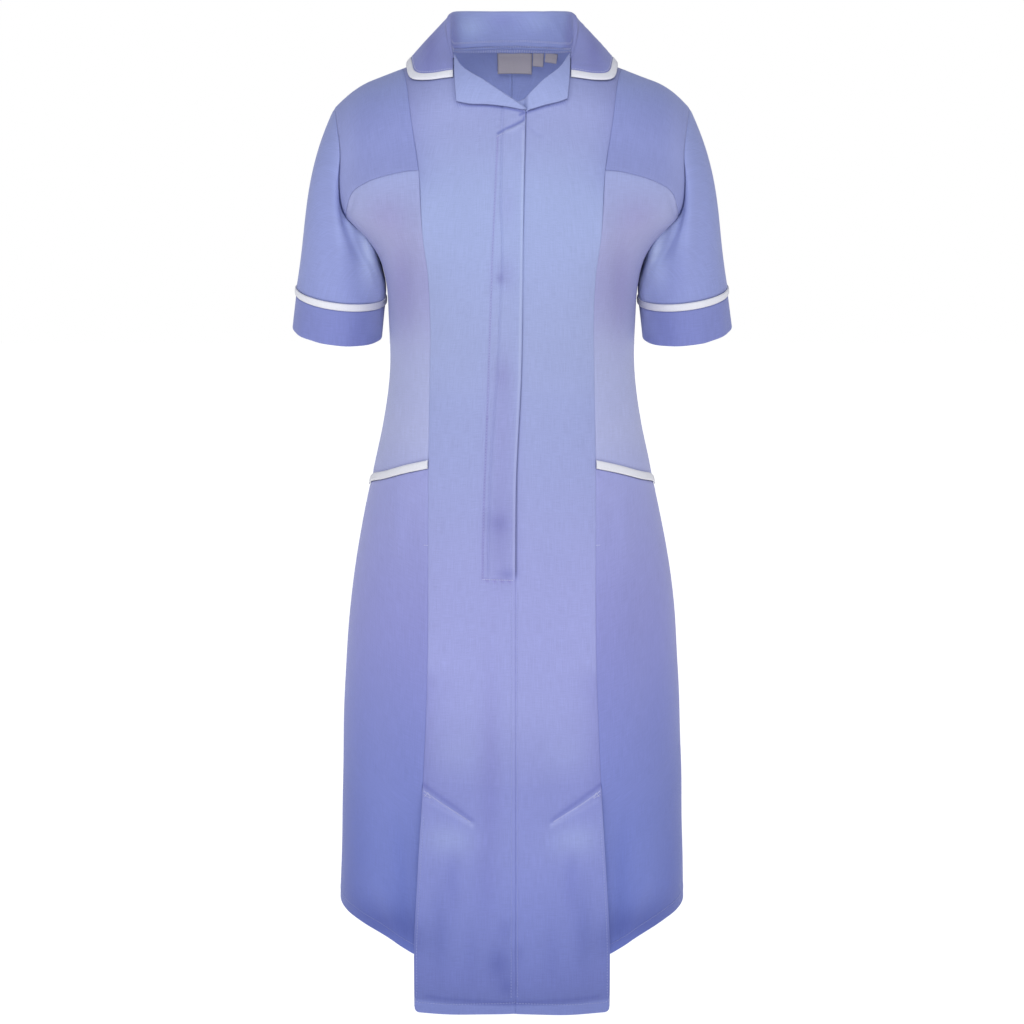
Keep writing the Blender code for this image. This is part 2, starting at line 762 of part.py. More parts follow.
def sleeves(cloth, trim):
    share = np.linspace(0, 1, 21)
    turn = 2 * math.pi * share
    front, back = seam(armhole(ARMHOLE_FRONT)), seam(armhole(ARMHOLE_BACK), back=True)
    hole = np.where(
        (share <= 0.5)[:, None],
        surface(*front(np.clip(share * 2, 0, 1))),
        surface(*back(np.clip(2 - share * 2, 0, 1))),
    )
    end = ring("seam", turn)
    chord = end - hole
    reach = np.linalg.norm(chord, axis=1, keepdims=True)
    radial = np.stack([np.cos(turn), -np.sin(turn), 0 * turn], axis=-1)
    leave = chord + radial * (CAP_BULGE * (1 + np.cos(turn)) / 2)[:, None]
    leave[:, 0] += SEAM_LEAVE * np.abs(np.sin(turn))
    lean = np.array(ARM_LEAN) * reach
    rows = []
    for t in np.linspace(0, 1, 7):
        blend = (2 * t**3 - 3 * t**2 + 1, t**3 - 2 * t**2 + t, -2 * t**3 + 3 * t**2, t**3 - t**2)
        rows.append(blend[0] * hole + blend[1] * leave + blend[2] * end + blend[3] * lean)
    points = np.array(rows)
    first = points[1] - points[0]
    points[0] += first / np.linalg.norm(first, axis=1, keepdims=True) * SLEEVE_GAP
    points[-1] += (points[-2] - points[-1]) * SLEEVE_END_GAP
    points[:, -1] = points[:, 0]
    bands = [ring("trim", turn), ring("hem", turn)]
    gap = (bands[1] - bands[0]) * CUFF_GAP
    for name, side in SIDES.items():
        sheet(f"sleeve_{name}", points, cloth, side, closed=True)
        grow = radial * CUFF_TRIM_LIFT
        trim_rows = np.array([end + grow, bands[0] + grow])
        trim_rows[:, -1] = trim_rows[:, 0]
        sheet(f"cuff_trim_{name}", trim_rows, trim, side, TRIM_CLOTH, closed=True)
        cuff_rows = np.array([bands[0] + gap, (bands[0] + bands[1]) / 2, bands[1]])
        cuff_rows[:, -1] = cuff_rows[:, 0]
        sheet(f"cuff_{name}", cuff_rows, cloth, side, closed=True)


def labels(finish):
    """The label inside the back of the neck and its size tabs, plain."""
    for name, (low_half, high_half, low, high) in LABELS.items():
        across, along = np.meshgrid(np.linspace(low_half, high_half, 5), np.linspace(low, high, 4))
        around = around_at(across, along, back=True)
        points = laid((around, along), -LABEL_DROP)[:, ::-1]
        sheet(name, points, finish, thickness=LABEL_CLOTH)


def main():
    for old in list(bpy.data.objects):
        bpy.data.objects.remove(old)
    collection = bpy.data.collections.new(COLLECTION)
    bpy.context.scene.collection.children.link(collection)
    cloth, trim, label = (material(name, *FINISHES[name]) for name in FINISHES)
    fronts(cloth)
    placket(cloth)
    yokes(cloth)
    side_fronts(cloth)
    side_skirts(cloth)
    pleat_returns(cloth)
    backs(cloth)
    lapels(cloth)
    collar(cloth, trim)
    sleeves(cloth, trim)
    pocket_trims(trim)
    labels(label)


main()
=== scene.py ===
"""Nurse's tunic dress, worn and hollow: fine cloth panels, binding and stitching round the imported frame."""

import math

import bpy
import numpy as np
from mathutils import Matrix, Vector
from mathutils.bvhtree import BVHTree


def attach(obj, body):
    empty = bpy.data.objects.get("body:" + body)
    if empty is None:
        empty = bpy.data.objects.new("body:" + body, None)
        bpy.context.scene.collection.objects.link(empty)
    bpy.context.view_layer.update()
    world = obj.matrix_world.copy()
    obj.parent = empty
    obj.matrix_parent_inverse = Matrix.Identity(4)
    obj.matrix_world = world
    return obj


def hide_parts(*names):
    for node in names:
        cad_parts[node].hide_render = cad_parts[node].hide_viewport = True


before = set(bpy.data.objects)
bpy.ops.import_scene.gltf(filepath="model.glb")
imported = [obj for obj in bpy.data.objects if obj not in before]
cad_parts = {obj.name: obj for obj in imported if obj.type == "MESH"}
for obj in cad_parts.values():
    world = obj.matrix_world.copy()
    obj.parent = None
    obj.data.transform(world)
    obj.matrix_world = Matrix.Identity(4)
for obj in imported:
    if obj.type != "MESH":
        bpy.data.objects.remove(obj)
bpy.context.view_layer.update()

# The worn surface, as in the CAD part
TRIM_WIDTH = 0.009
ARMPIT = -0.226
YOKE_PRINCESS = -0.125
NOTCH = (-0.178, 0.183)
POCKET_BACK_END = -0.6
FLY_END = -0.567
PLEAT_TOP = -0.8
PLEAT_INNER = (-0.842, 0.046)
SIDE_HEM = -0.984
PLEAT_HEM = -1.006
FRONT_HEM = -1.051
FRONT_CORNER = -1.0565
BACK_HEM = -0.99
PLEAT_KICK = 0.034
SHOULDER_BEND = 0.07
SHOULDER_ARC = 0.126
SHOULDER_EASE = 0.016
SHOULDER_SLOPE = 0.39
SHOULDER_SEAM_Y = 0.005
NECK_REACH = 0.0725
NECK_ROUND = 0.03
TIP_START = 0.155
TIP_DROP = 8.1
TIP_HALF = 0.1977
SIDE_NECK = 0.0695
VIRTUAL_TOP = -0.12
SECTION_COLUMNS = ("height", "half", "front", "back", "side", "front_power", "back_power")
SECTIONS = (
    (-0.045, 0.215, 0.084, 0.098, 0.008, 2.3, 2.5),
    (-0.07, 0.215, 0.097, 0.107, 0.008, 2.3, 2.5),
    (-0.12, 0.215, 0.119, 0.12, 0.008, 2.3, 2.5),
    (-0.16, 0.206, 0.134, 0.124, 0.008, 2.3, 2.5),
    (-0.18, 0.1925, 0.14, 0.124, 0.008, 2.35, 2.5),
    (-0.2, 0.168, 0.145, 0.122, 0.008, 2.4, 2.5),
    (-0.215, 0.155, 0.147, 0.119, 0.008, 2.4, 2.5),
    (-0.232, 0.1462, 0.148, 0.115, 0.008, 2.4, 2.45),
    (-0.255, 0.1412, 0.147, 0.11, 0.008, 2.35, 2.4),
    (-0.295, 0.139, 0.137, 0.099, 0.007, 2.3, 2.35),
    (-0.335, 0.138, 0.122, 0.089, 0.006, 2.25, 2.3),
    (-0.37, 0.14, 0.114, 0.085, 0.006, 2.25, 2.25),
    (-0.415, 0.147, 0.117, 0.093, 0.007, 2.3, 2.25),
    (-0.46, 0.1568, 0.123, 0.108, 0.008, 2.3, 2.3),
    (-0.53, 0.1718, 0.13, 0.126, 0.009, 2.35, 2.35),
    (-0.6, 0.1843, 0.135, 0.134, 0.01, 2.35, 2.4),
    (-0.7, 0.1935, 0.14, 0.136, 0.01, 2.35, 2.4),
    (-0.8, 0.1985, 0.145, 0.137, 0.01, 2.35, 2.4),
    (-0.9, 0.2015, 0.149, 0.139, 0.01, 2.35, 2.4),
    (-1.06, 0.207, 0.155, 0.142, 0.01, 2.35, 2.4),
)
BUST = {"half": 0.085, "height": -0.262, "width": 0.05, "length": 0.07, "depth": 0.008}
PRINCESS_TOP = 0.1215
PRINCESS = (
    (-0.017, 0.114),
    (-0.078, 0.1067),
    (YOKE_PRINCESS, 0.0993),
    (-0.198, 0.0944),
    (-0.235, 0.0897),
    (-0.29, 0.0881),
    (-0.348, 0.09),
    (-0.44, 0.092),
    (-0.634, 0.0928),
    (-0.8, 0.0993),
    (-0.899, 0.1052),
    (-0.988, 0.1099),
    (-1.06, 0.11),
)
ARMHOLE_FRONT = (
    (-0.04, 0.1945),
    (-0.068, 0.1915),
    (-0.093, 0.188),
    (-0.114, 0.1867),
    (-0.141, 0.188),
    (-0.161, 0.1875),
    NOTCH,
    (-0.19, 0.173),
    (-0.201, 0.162),
    (-0.212, 0.1545),
)
ARMHOLE_BACK = (
    (-0.05, 0.1905), (-0.09, 0.185), (-0.13, 0.183), (-0.165, 0.18), (-0.19, 0.1685), (-0.208, 0.156),
)
YOKE_SEAM = (
    (YOKE_PRINCESS, 0.0993),
    (-0.1264, 0.114),
    (-0.1298, 0.1292),
    (-0.1338, 0.1435),
    (-0.1395, 0.1572),
    (-0.1507, 0.1732),
    NOTCH,
)
FLY_EDGE = (
    (-0.0628, 0.0139), (-0.156, 0.0118), (-0.346, 0.0092), (-0.465, 0.0037), (-0.567, 0.003),
    (-1.06, 0.003),
)
NECKLINES = {
    "right": ((-0.0628, -0.0139), (-0.0473, 0.0075), (-0.0324, 0.0268), (-0.011, 0.052), (0.0125, 0.0627)),
    "left": ((-0.0562, 0.0055), (-0.0507, 0.0142), (-0.0321, 0.0311), (-0.0113, 0.0504), (0.0145, 0.0625)),
}
BACK_NECKLINE = ((0.02, 0.0), (0.0246, 0.03), (0.0351, 0.055))
POCKET_EDGE = (
    (-0.441, 0.0922), (-0.4484, 0.1148), (-0.4607, 0.1414), (-0.4714, 0.1575),
)
POCKET_SIDE = -0.4802
SKIRT_HEM = (
    (-1.003, 0.112), (-0.9962, 0.1273), (-0.9901, 0.1413), (-0.984, 0.1629), (-0.9805, 0.1855),
    (-0.9805, 0.196),
)
LAPEL_EDGES = {
    "right": ((-0.0634, -0.0117), (-0.0596, 0.0075), (-0.0574, 0.0267), (-0.0558, 0.046), (-0.0522, 0.0592)),
    "left": (
        (-0.0668, 0.0085), (-0.064, 0.016), (-0.0607, 0.0266), (-0.0562, 0.0405), (-0.052, 0.053),
        (-0.049, 0.0589),
    ),
}
UNDERLAP = 0.0084
LAPEL_OUTER = ((-0.02, 0.0608), (0.006, 0.0612))
COLLAR_COLUMNS = ("along", "roll_x", "roll_y", "roll_z", "edge_x", "edge_y")
COLLAR = (
    (0.0, 0.0, 0.066, 0.0415, 0.0, 0.093),
    (0.2, 0.0335, 0.062, 0.0415, 0.042, 0.088),
    (0.4, 0.06, 0.043, 0.0412, 0.085, 0.066),
    (0.55, 0.0685, 0.02, 0.0372, 0.109, 0.037),
    (0.68, 0.0696, 0.001, 0.0285, 0.1157, 0.002),
    (0.78, 0.0687, -0.0153, 0.0169, 0.1142, -0.033),
    (0.86, 0.0672, -0.0286, 0.0071, 0.1085, -0.06),
    (0.93, 0.0655, -0.039, 0.0005, 0.09, -0.0722),
    (1.0, 0.0636, -0.05, -0.006, 0.063, -0.0785),
)
COLLAR_ROLL = 0.0022
COLLAR_CLEAR = 0.0032
COLLAR_BOW = 0.0025
ALLOWANCE = 0.0078
RINGS = {
    "seam": (0.1925, 0.003, -0.2664, 0.05, 0.057, 0.0062, 0.007),
    "trim": (0.193, 0.0032, -0.2754, 0.05, 0.057, 0.0062, 0.0078),
    "hem": (0.1975, 0.005, -0.308, 0.05, 0.0575, 0.006, 0.0117),
}
ARM_LEAN = (0.19, 0.02, -0.98)
CAP_BULGE = 0.052
SEAM_LEAVE = 0.04
CUFF_TRIM_SHARE = 0.84
LABELS = {
    "neck_label": (-0.0167, 0.0231, -0.0183, 0.0134),
    "size_tab_inner": (0.0243, 0.0364, -0.0046, 0.0165),
    "size_tab_outer": (0.0384, 0.0517, 0.0054, 0.0205),
}
SIDES = {"right": -1, "left": 1}

# Studio
CAMERA_PLACE = (0, -2.5, 0)
CAMERA_TARGET = (0, 0, -0.52)
CAMERA_LENS = 78.12
AMBIENT = 0.42
FLOOR_Z = -1.5
FLOOR_HALF = 9.0
LIGHTS = (
    ("front", (-0.1, -1.75, 0.95), (0, 0, -0.3), 0.8, 15.0),
    ("left", (-1.7, -1.6, 0.35), (0, 0, -0.35), 1.0, 9.4),
    ("right", (1.7, -1.6, 0.35), (0, 0, -0.35), 1.0, 8.6),
    ("inside", (0, -0.03, -0.16), (0, 0.09, -0.01), 0.1, 0.13),
)

# Cloth
WALL = 0.0009
FACED_WALL = 0.0014
TRIM_WALL = 0.0008
CUFF_TRIM_WALL = 0.0012
LABEL_WALL = 0.0007
FOLD_RADIUS = 0.0011
HEM_TURN = 0.012
HEM_STITCH = 0.0275

PANELS = {}


def monotone(knots, values):
    """A smooth curve through the values that adds no waves of its own, as a function of place."""
    knots = np.asarray(knots, float)
    values = np.asarray(values, float)
    gaps = np.diff(knots)
    slopes = np.diff(values) / gaps
    tangents = np.concatenate([slopes[:1], (slopes[1:] + slopes[:-1]) / 2, slopes[-1:]])
    for i in range(1, len(slopes)):
        if slopes[i - 1] * slopes[i] <= 0:
            tangents[i] = 0.0
        else:
            most = 3 * min(abs(slopes[i - 1]), abs(slopes[i]))
            tangents[i] = np.clip(tangents[i], -most, most)

    def curve(place):
        place = np.clip(place, knots[0], knots[-1])
        i = np.clip(np.searchsorted(knots, place, side="right") - 1, 0, len(gaps) - 1)
        t = (place - knots[i]) / gaps[i]
        low = values[i] * (1 + 2 * t) * (1 - t) ** 2 + values[i + 1] * t * t * (3 - 2 * t)
        bend = tangents[i] * t * (1 - t) ** 2 - tangents[i + 1] * t * t * (1 - t)
        return low + bend * gaps[i]

    return curve


def section_curves():
    rows = np.array(sorted(SECTIONS))
    return {
        name: monotone(rows[:, 0], rows[:, i])
        for i, name in enumerate(SECTION_COLUMNS)
        if name != "height"
    }


SECTION = section_curves()


def shoulder_height(half):
    slope = SHOULDER_SLOPE * (NECK_REACH - np.hypot(half, NECK_ROUND))
    return slope - TIP_DROP * np.maximum(half - TIP_START, 0) ** 2


def shoulder_rise(half):
    return shoulder_height(half) - SHOULDER_BEND + SHOULDER_ARC


def depth(half, height, back):
    wide = SECTION["half"](height)
    side = SECTION["side"](height)
    power = SECTION["back_power" if back else "front_power"](height)
    reach = SECTION["back" if back else "front"](height)
    share = np.clip(1 - np.clip(np.abs(half) / wide, 0, 1) ** power, 0, 1) ** (1 / power)
    if back:
        return side + (reach - side) * share
    bust = BUST["depth"] * np.exp(
        -(((np.abs(half) - BUST["half"]) / BUST["width"]) ** 2)
        - ((height - BUST["height"]) / BUST["length"]) ** 2
    )
    return side - (reach + side) * share - bust * share


def half_at(around, rise):
    level = np.minimum(rise, VIRTUAL_TOP)
    wide = SECTION["half"](level)
    back = around > 1
    power = np.where(back, SECTION["back_power"](level), SECTION["front_power"](level))
    angle = np.where(back, 2 - around, around) * math.pi / 2
    size = (np.abs(np.sin(angle)) ** power + np.abs(np.cos(angle)) ** power) ** (1 / power)
    return wide * np.sin(angle) / size


def around_at(half, rise, back=False):
    level = np.minimum(rise, VIRTUAL_TOP)
    power = SECTION["back_power" if back else "front_power"](level)
    share = np.clip(np.abs(half) / SECTION["half"](level), 0, 0.999999) ** power
    angle = np.arctan((share / (1 - share)) ** (1 / power)) * np.sign(half) / (math.pi / 2)
    return 2 - angle if back else angle


def surface(around, rise):
    """Points of the worn surface, bending over the shoulder near its top."""
    around, rise = np.broadcast_arrays(np.asarray(around, float), np.asarray(rise, float))
    half = half_at(around, rise)
    top = shoulder_height(half) - SHOULDER_BEND
    level = np.minimum(rise, top)
    eased = (rise + top - np.hypot(rise - top, SHOULDER_EASE)) / 2
    place = half * SECTION["half"](eased) / SECTION["half"](np.minimum(rise, VIRTUAL_TOP))
    y = np.where(around > 1, depth(place, eased, True), depth(place, eased, False))
    turn = np.clip((rise - top) / SHOULDER_ARC, 0, 1) * math.pi / 2
    y = SHOULDER_SEAM_Y + (y - SHOULDER_SEAM_Y) * np.cos(turn)
    z = level + SHOULDER_BEND * np.sin(turn)
    return np.stack([half, y, z], axis=-1)


def surface_height(half, y):
    top = shoulder_height(half) - SHOULDER_BEND
    far = np.where(y > SHOULDER_SEAM_Y, depth(half, top, True), depth(half, top, False))
    share = np.clip((y - SHOULDER_SEAM_Y) / (far - SHOULDER_SEAM_Y), 0, 1)
    return top + SHOULDER_BEND * np.sqrt(1 - share * share)


def outward(around, rise):
    step = 1e-4
    across = surface(around + step, rise) - surface(around - step, rise)
    along = surface(around, rise + step) - surface(around, rise - step)
    normal = np.cross(across, along)
    return normal / np.linalg.norm(normal, axis=-1, keepdims=True)


def seam(table, back=False):
    """A seam through (rise, half width) rows, as a function of 0 to 1 giving (around, rise)."""
    rows = np.asarray(table, float)
    steps = np.hypot(np.diff(rows[:, 0]), np.diff(rows[:, 1]))
    marks_ = np.concatenate([[0], np.cumsum(steps)]) / steps.sum()
    rise, half = monotone(marks_, rows[:, 0]), monotone(marks_, rows[:, 1])

    def curve(t):
        return around_at(half(t), rise(t), back), rise(t)

    return curve


def even_seam(table):
    """A front seam through (rise, half width) rows, even in its half width."""
    rows = np.asarray(table, float)
    rise = monotone((rows[:, 1] - rows[0, 1]) / (rows[-1, 1] - rows[0, 1]), rows[:, 0])

    def curve(t):
        return around_at(rows[0, 1] + (rows[-1, 1] - rows[0, 1]) * t, rise(t)), rise(t)

    return curve


def shoulder_seam(inner, outer, back=False):
    def curve(t):
        half = inner + (outer - inner) * t
        return around_at(half, shoulder_rise(half), back), shoulder_rise(half)

    return curve


def joined(*parts):
    """Curves one after another, each taking its share of the way: (share, curve), ..."""
    shares = np.array([share for share, _ in parts], float)
    ends = np.concatenate([[0], np.cumsum(shares / shares.sum())])

    def curve(t):
        t = np.atleast_1d(t)
        place = np.zeros((2, len(t)))
        for (_, part), low, high in zip(parts, ends[:-1], ends[1:]):
            here = (t >= low - 1e-9) & (t <= high + 1e-9)
            place[:, here] = part(np.clip((t[here] - low) / (high - low), 0, 1))
        return place[0], place[1]

    return curve


def straight(start, end):
    def curve(t):
        return start[0] + (end[0] - start[0]) * t, start[1] + (end[1] - start[1]) * t

    return curve


def level_seam(start, end, back=False):
    ends = [(float(around_at(half, rise, back)), rise) for rise, half in (start, end)]
    return straight(*ends)


def side_seam(low, high=ARMPIT):
    return straight((1.0, low), (1.0, high))


def rows_between(table, low, high):
    rows = np.array(sorted(table))
    half = monotone(rows[:, 0], rows[:, 1])
    inside = [rise for rise in rows[:, 0] if low < rise < high]
    return [(rise, float(half(rise))) for rise in (low, *inside, high)]


def princess(low, high=None):
    table = (*PRINCESS, (shoulder_rise(PRINCESS_TOP), PRINCESS_TOP))
    return rows_between(table, low, shoulder_rise(PRINCESS_TOP) if high is None else high)


def princess_half(rise):
    rows = np.array(sorted(PRINCESS))
    return monotone(rows[:, 0], rows[:, 1])(rise)


def armhole(table):
    armpit = (ARMPIT, float(SECTION["half"](ARMPIT)))
    return [(float(shoulder_rise(TIP_HALF)), TIP_HALF), *table, armpit]


def pull_forward(rise):
    share = np.clip((PLEAT_TOP - rise) / (PLEAT_TOP - FRONT_HEM), 0, None)
    return PLEAT_KICK * share


def marks(cells, spots=(), reach=0.03, crowding=4.0):
    """Places from 0 to 1, closer together near the spots."""
    fine = np.linspace(0, 1, 4001)
    weight = np.ones_like(fine)
    for spot in spots:
        weight += crowding * np.exp(-(((fine - spot) / reach) ** 2))
    total = np.cumsum(weight)
    total = (total - total[0]) / (total[-1] - total[0])
    return np.interp(np.linspace(0, 1, cells + 1), total, fine)


def patch(inner, outer, bottom, top, u, v, fade=1.0):
    """(around, rise) over a four-sided panel, blended from its edges. The top's shape fades by this power."""
    low, high = np.array(bottom(u)), np.array(top(u))
    near, far = np.array(inner(v)), np.array(outer(v))
    across, along = np.meshgrid(u, v**fade)
    blend = (1 - along) * low[:, None, :] + along * high[:, None, :]
    blend += (1 - across) * near[:, :, None] + across * far[:, :, None]
    for corner, weight in (
        (low[:, 0], (1 - across) * (1 - along)),
        (low[:, -1], across * (1 - along)),
        (high[:, 0], (1 - across) * along),
        (high[:, -1], across * along),
    ):
        blend -= corner[:, None, None] * weight
    return blend[0], blend[1]


def ways(points):
    """Distances over the cloth from a grid's inner, outer, bottom and top edges."""
    across = np.pad(np.cumsum(np.linalg.norm(np.diff(points, axis=1), axis=2), axis=1), ((0, 0), (1, 0)))
    along = np.pad(np.cumsum(np.linalg.norm(np.diff(points, axis=0), axis=2), axis=0), ((1, 0), (0, 0)))
    return {"inner": across, "outer": across[:, -1:] - across, "bottom": along, "top": along[-1:] - along}


def facing(points):
    """Unit normals of a grid of points."""
    normal = np.cross(np.gradient(points, axis=1), np.gradient(points, axis=0))
    return normal / np.maximum(np.linalg.norm(normal, axis=-1, keepdims=True), 1e-12)


def smooth(x):
    x = np.clip(x, 0, 1)
    return x * x * (3 - 2 * x)


def uneven(way, length, key):
    """A wave along a seam that keeps changing its pace and height."""
    a = way * 2 * math.pi / length
    wave = np.sin(a + 1.7 * np.sin(0.31 * a + key)) + 0.6 * np.sin(1.73 * a + 2.1 * key)
    return wave / 1.6 * (0.6 + 0.4 * np.sin(0.13 * a + 3 * key))


def ridges(x, z, rows):
    """Soft folds, each along a line: x, z of both ends, width, and height (a dent below 0)."""
    total = np.zeros_like(x)
    for x0, z0, x1, z1, wide, high in rows:
        dx, dz = x1 - x0, z1 - z0
        t = np.clip(((x - x0) * dx + (z - z0) * dz) / (dx * dx + dz * dz), 0, 1)
        far = np.hypot(x - x0 - t * dx, z - z0 - t * dz)
        total += high * np.exp(-((far / wide) ** 2)) * (1 - 0.75 * (2 * t - 1) ** 2)
    return total


# Folds by place across and height of their two ends, width and depth; those of BOTH are on each side
FRONT_FOLDS_BOTH = (
    (0.101, -0.808, 0.042, -0.845, 0.0034, 0.0026), (0.098, -0.801, 0.042, -0.837, 0.0032, -0.0014),
    (0.17, -0.148, 0.179, -0.178, 0.004, -0.0018), (0.119, -0.185, 0.116, -0.315, 0.013, -0.0018),
    (0.094, -0.451, 0.101, -0.46, 0.003, -0.0012), (0.15, -0.92, 0.125, -0.99, 0.012, 0.0022),
    (0.13, -0.83, 0.118, -0.96, 0.01, -0.002),
)
FRONT_FOLDS = (
    (0.0129, -0.0715, 0.004, -0.078, 0.002, -0.0014), (0.006, -0.077, -0.0064, -0.0822, 0.002, -0.0014),
    (-0.0064, -0.0822, -0.016, -0.087, 0.002, -0.001), (0.012, -0.077, -0.004, -0.086, 0.003, 0.0014),
    (0.0165, -0.079, 0.031, -0.092, 0.003, -0.0006), (-0.1, -0.155, -0.104, -0.33, 0.01, 0.0012),
    (0.102, -0.155, 0.105, -0.32, 0.01, 0.0012), (-0.138, -0.205, -0.129, -0.26, 0.009, 0.0015),
    (0.138, -0.205, 0.13, -0.265, 0.009, 0.0015), (-0.13, -0.485, -0.124, -0.55, 0.008, 0.0016),
    (-0.115, -0.475, -0.112, -0.54, 0.008, -0.0014), (0.128, -0.485, 0.122, -0.56, 0.009, 0.0016),
    (0.112, -0.475, 0.11, -0.53, 0.008, -0.0013), (-0.0075, -0.15, -0.0065, -0.18, 0.006, -0.0006),
    (-0.0085, -0.34, -0.0075, -0.37, 0.007, -0.0007), (-0.012, -0.495, -0.01, -0.53, 0.007, -0.0009),
    (0.035, -0.52, 0.062, -0.55, 0.014, -0.0014), (-0.06, -0.53, -0.045, -0.61, 0.018, -0.0012),
    (-0.043, -0.69, -0.063, -0.9, 0.02, -0.0022), (0.038, -0.7, 0.06, -0.92, 0.02, -0.002),
    (-0.077, -0.86, -0.072, -1.03, 0.011, 0.002), (0.08, -0.88, 0.073, -1.03, 0.011, 0.002),
    (-0.025, -0.9, -0.03, -1.04, 0.012, 0.0016), (0.03, -0.93, 0.033, -1.04, 0.012, 0.0015),
    (-0.15, -0.63, -0.156, -0.8, 0.016, -0.002), (0.15, -0.6, 0.156, -0.78, 0.016, -0.002),
)
BACK_FOLDS = (
    (-0.09, -0.09, -0.14, -0.19, 0.014, -0.0022), (0.09, -0.09, 0.14, -0.19, 0.014, -0.0022),
    (-0.055, -0.26, -0.09, -0.36, 0.013, 0.0026), (0.055, -0.26, 0.09, -0.36, 0.013, 0.0026),
    (-0.095, -0.3, -0.04, -0.345, 0.008, -0.002), (0.095, -0.305, 0.04, -0.355, 0.008, -0.002),
    (-0.08, -0.6, -0.095, -0.97, 0.02, 0.004), (0.085, -0.62, 0.1, -0.97, 0.02, 0.004),
    (-0.04, -0.7, -0.038, -0.98, 0.016, -0.003), (0.042, -0.68, 0.045, -0.98, 0.016, -0.003),
    (-0.15, -0.6, -0.16, -0.95, 0.018, -0.003), (0.15, -0.58, 0.16, -0.95, 0.018, -0.003),
)


def drape(x, z, back):
    """The broad, barely seen unevenness of pressed cloth."""
    skirt = smooth((-0.4 - z) / 0.5)
    wave = np.sin(62 * x + 5.1 * z + 0.7) * np.sin(9 * z + 31 * x) + 0.7 * np.sin(97 * x - 11 * z + 2.2)
    wave += 0.5 * np.sin(24 * z + 40 * x + 1.1) + 0.35 * np.sin(61 * z - 53 * x)
    return wave * (0.00022 + 0.00035 * skirt) * (1.5 if back else 1.0)


def worn(place, side, lift=0.0, forward=False):
    """Points of a panel on the worn surface with its folds, its right way round for the wearer's side."""
    around, rise = place
    points = surface(around, rise)
    x, z = points[..., 0] * side, points[..., 2]
    back = around > 1
    before = ridges(x, z, FRONT_FOLDS) + ridges(np.abs(x), z, FRONT_FOLDS_BOTH)
    fold = np.where(back, ridges(x, z, BACK_FOLDS), before)
    fold = fold + np.where(back, drape(x, z, True), drape(x, z, False))
    points = points + outward(around, rise) * (fold + lift)[..., None]
    if forward:
        points[..., 1] -= pull_forward(rise)
    return points


# How a seam sinks the cloth: depth and width of the groove, height, length and reach of its puckers
SEAM_FORMS = {
    "seam": (0.0006, 0.0018, 0.00036, 0.012, 0.006),
    "flat": (0.0003, 0.0014, 0.00012, 0.012, 0.005),
}


def sunk(points, forms, key):
    """The grid with its named edges drawn in at their seams."""
    far = ways(points)
    along = {"inner": far["bottom"], "outer": far["bottom"], "bottom": far["inner"], "top": far["inner"]}
    offset = np.zeros(points.shape[:2])
    for edge, form in forms.items():
        depth_, wide, high, length, reach = SEAM_FORMS[form]
        near = far[edge]
        offset -= depth_ * np.exp(-((near / wide) ** 2))
        offset += high * uneven(along[edge], length, key) * np.exp(-near / reach) * smooth(near / 0.002)
    return points + facing(points) * offset[..., None]


def turned(points, edge, length, radius=FOLD_RADIUS):
    """The grid with cloth folded back behind one of its edges: bottom, top, inner or outer."""
    if edge in ("inner", "outer"):
        end = {"inner": "bottom", "outer": "top"}[edge]
        return turned(points.transpose(1, 0, 2), end, length, -radius).transpose(1, 0, 2)
    if edge == "top":
        return turned(points[::-1], "bottom", length, -radius)[::-1]
    normal = facing(points) * (1 if radius > 0 else -1)
    radius = abs(radius)
    way = points[0] - points[1]
    way /= np.linalg.norm(way, axis=1, keepdims=True)
    last = int(np.searchsorted(np.median(ways(points)["bottom"], axis=1), length))
    hidden = [points[k] - 2 * radius * normal[k] for k in range(max(last, 1), 0, -1)]
    bend = [
        points[0] - radius * normal[0] + radius * (normal[0] * math.cos(a) + way * math.sin(a))
        for a in np.radians([180, 135, 90, 45])
    ]
    return np.concatenate([np.array(hidden), np.array(bend), points])


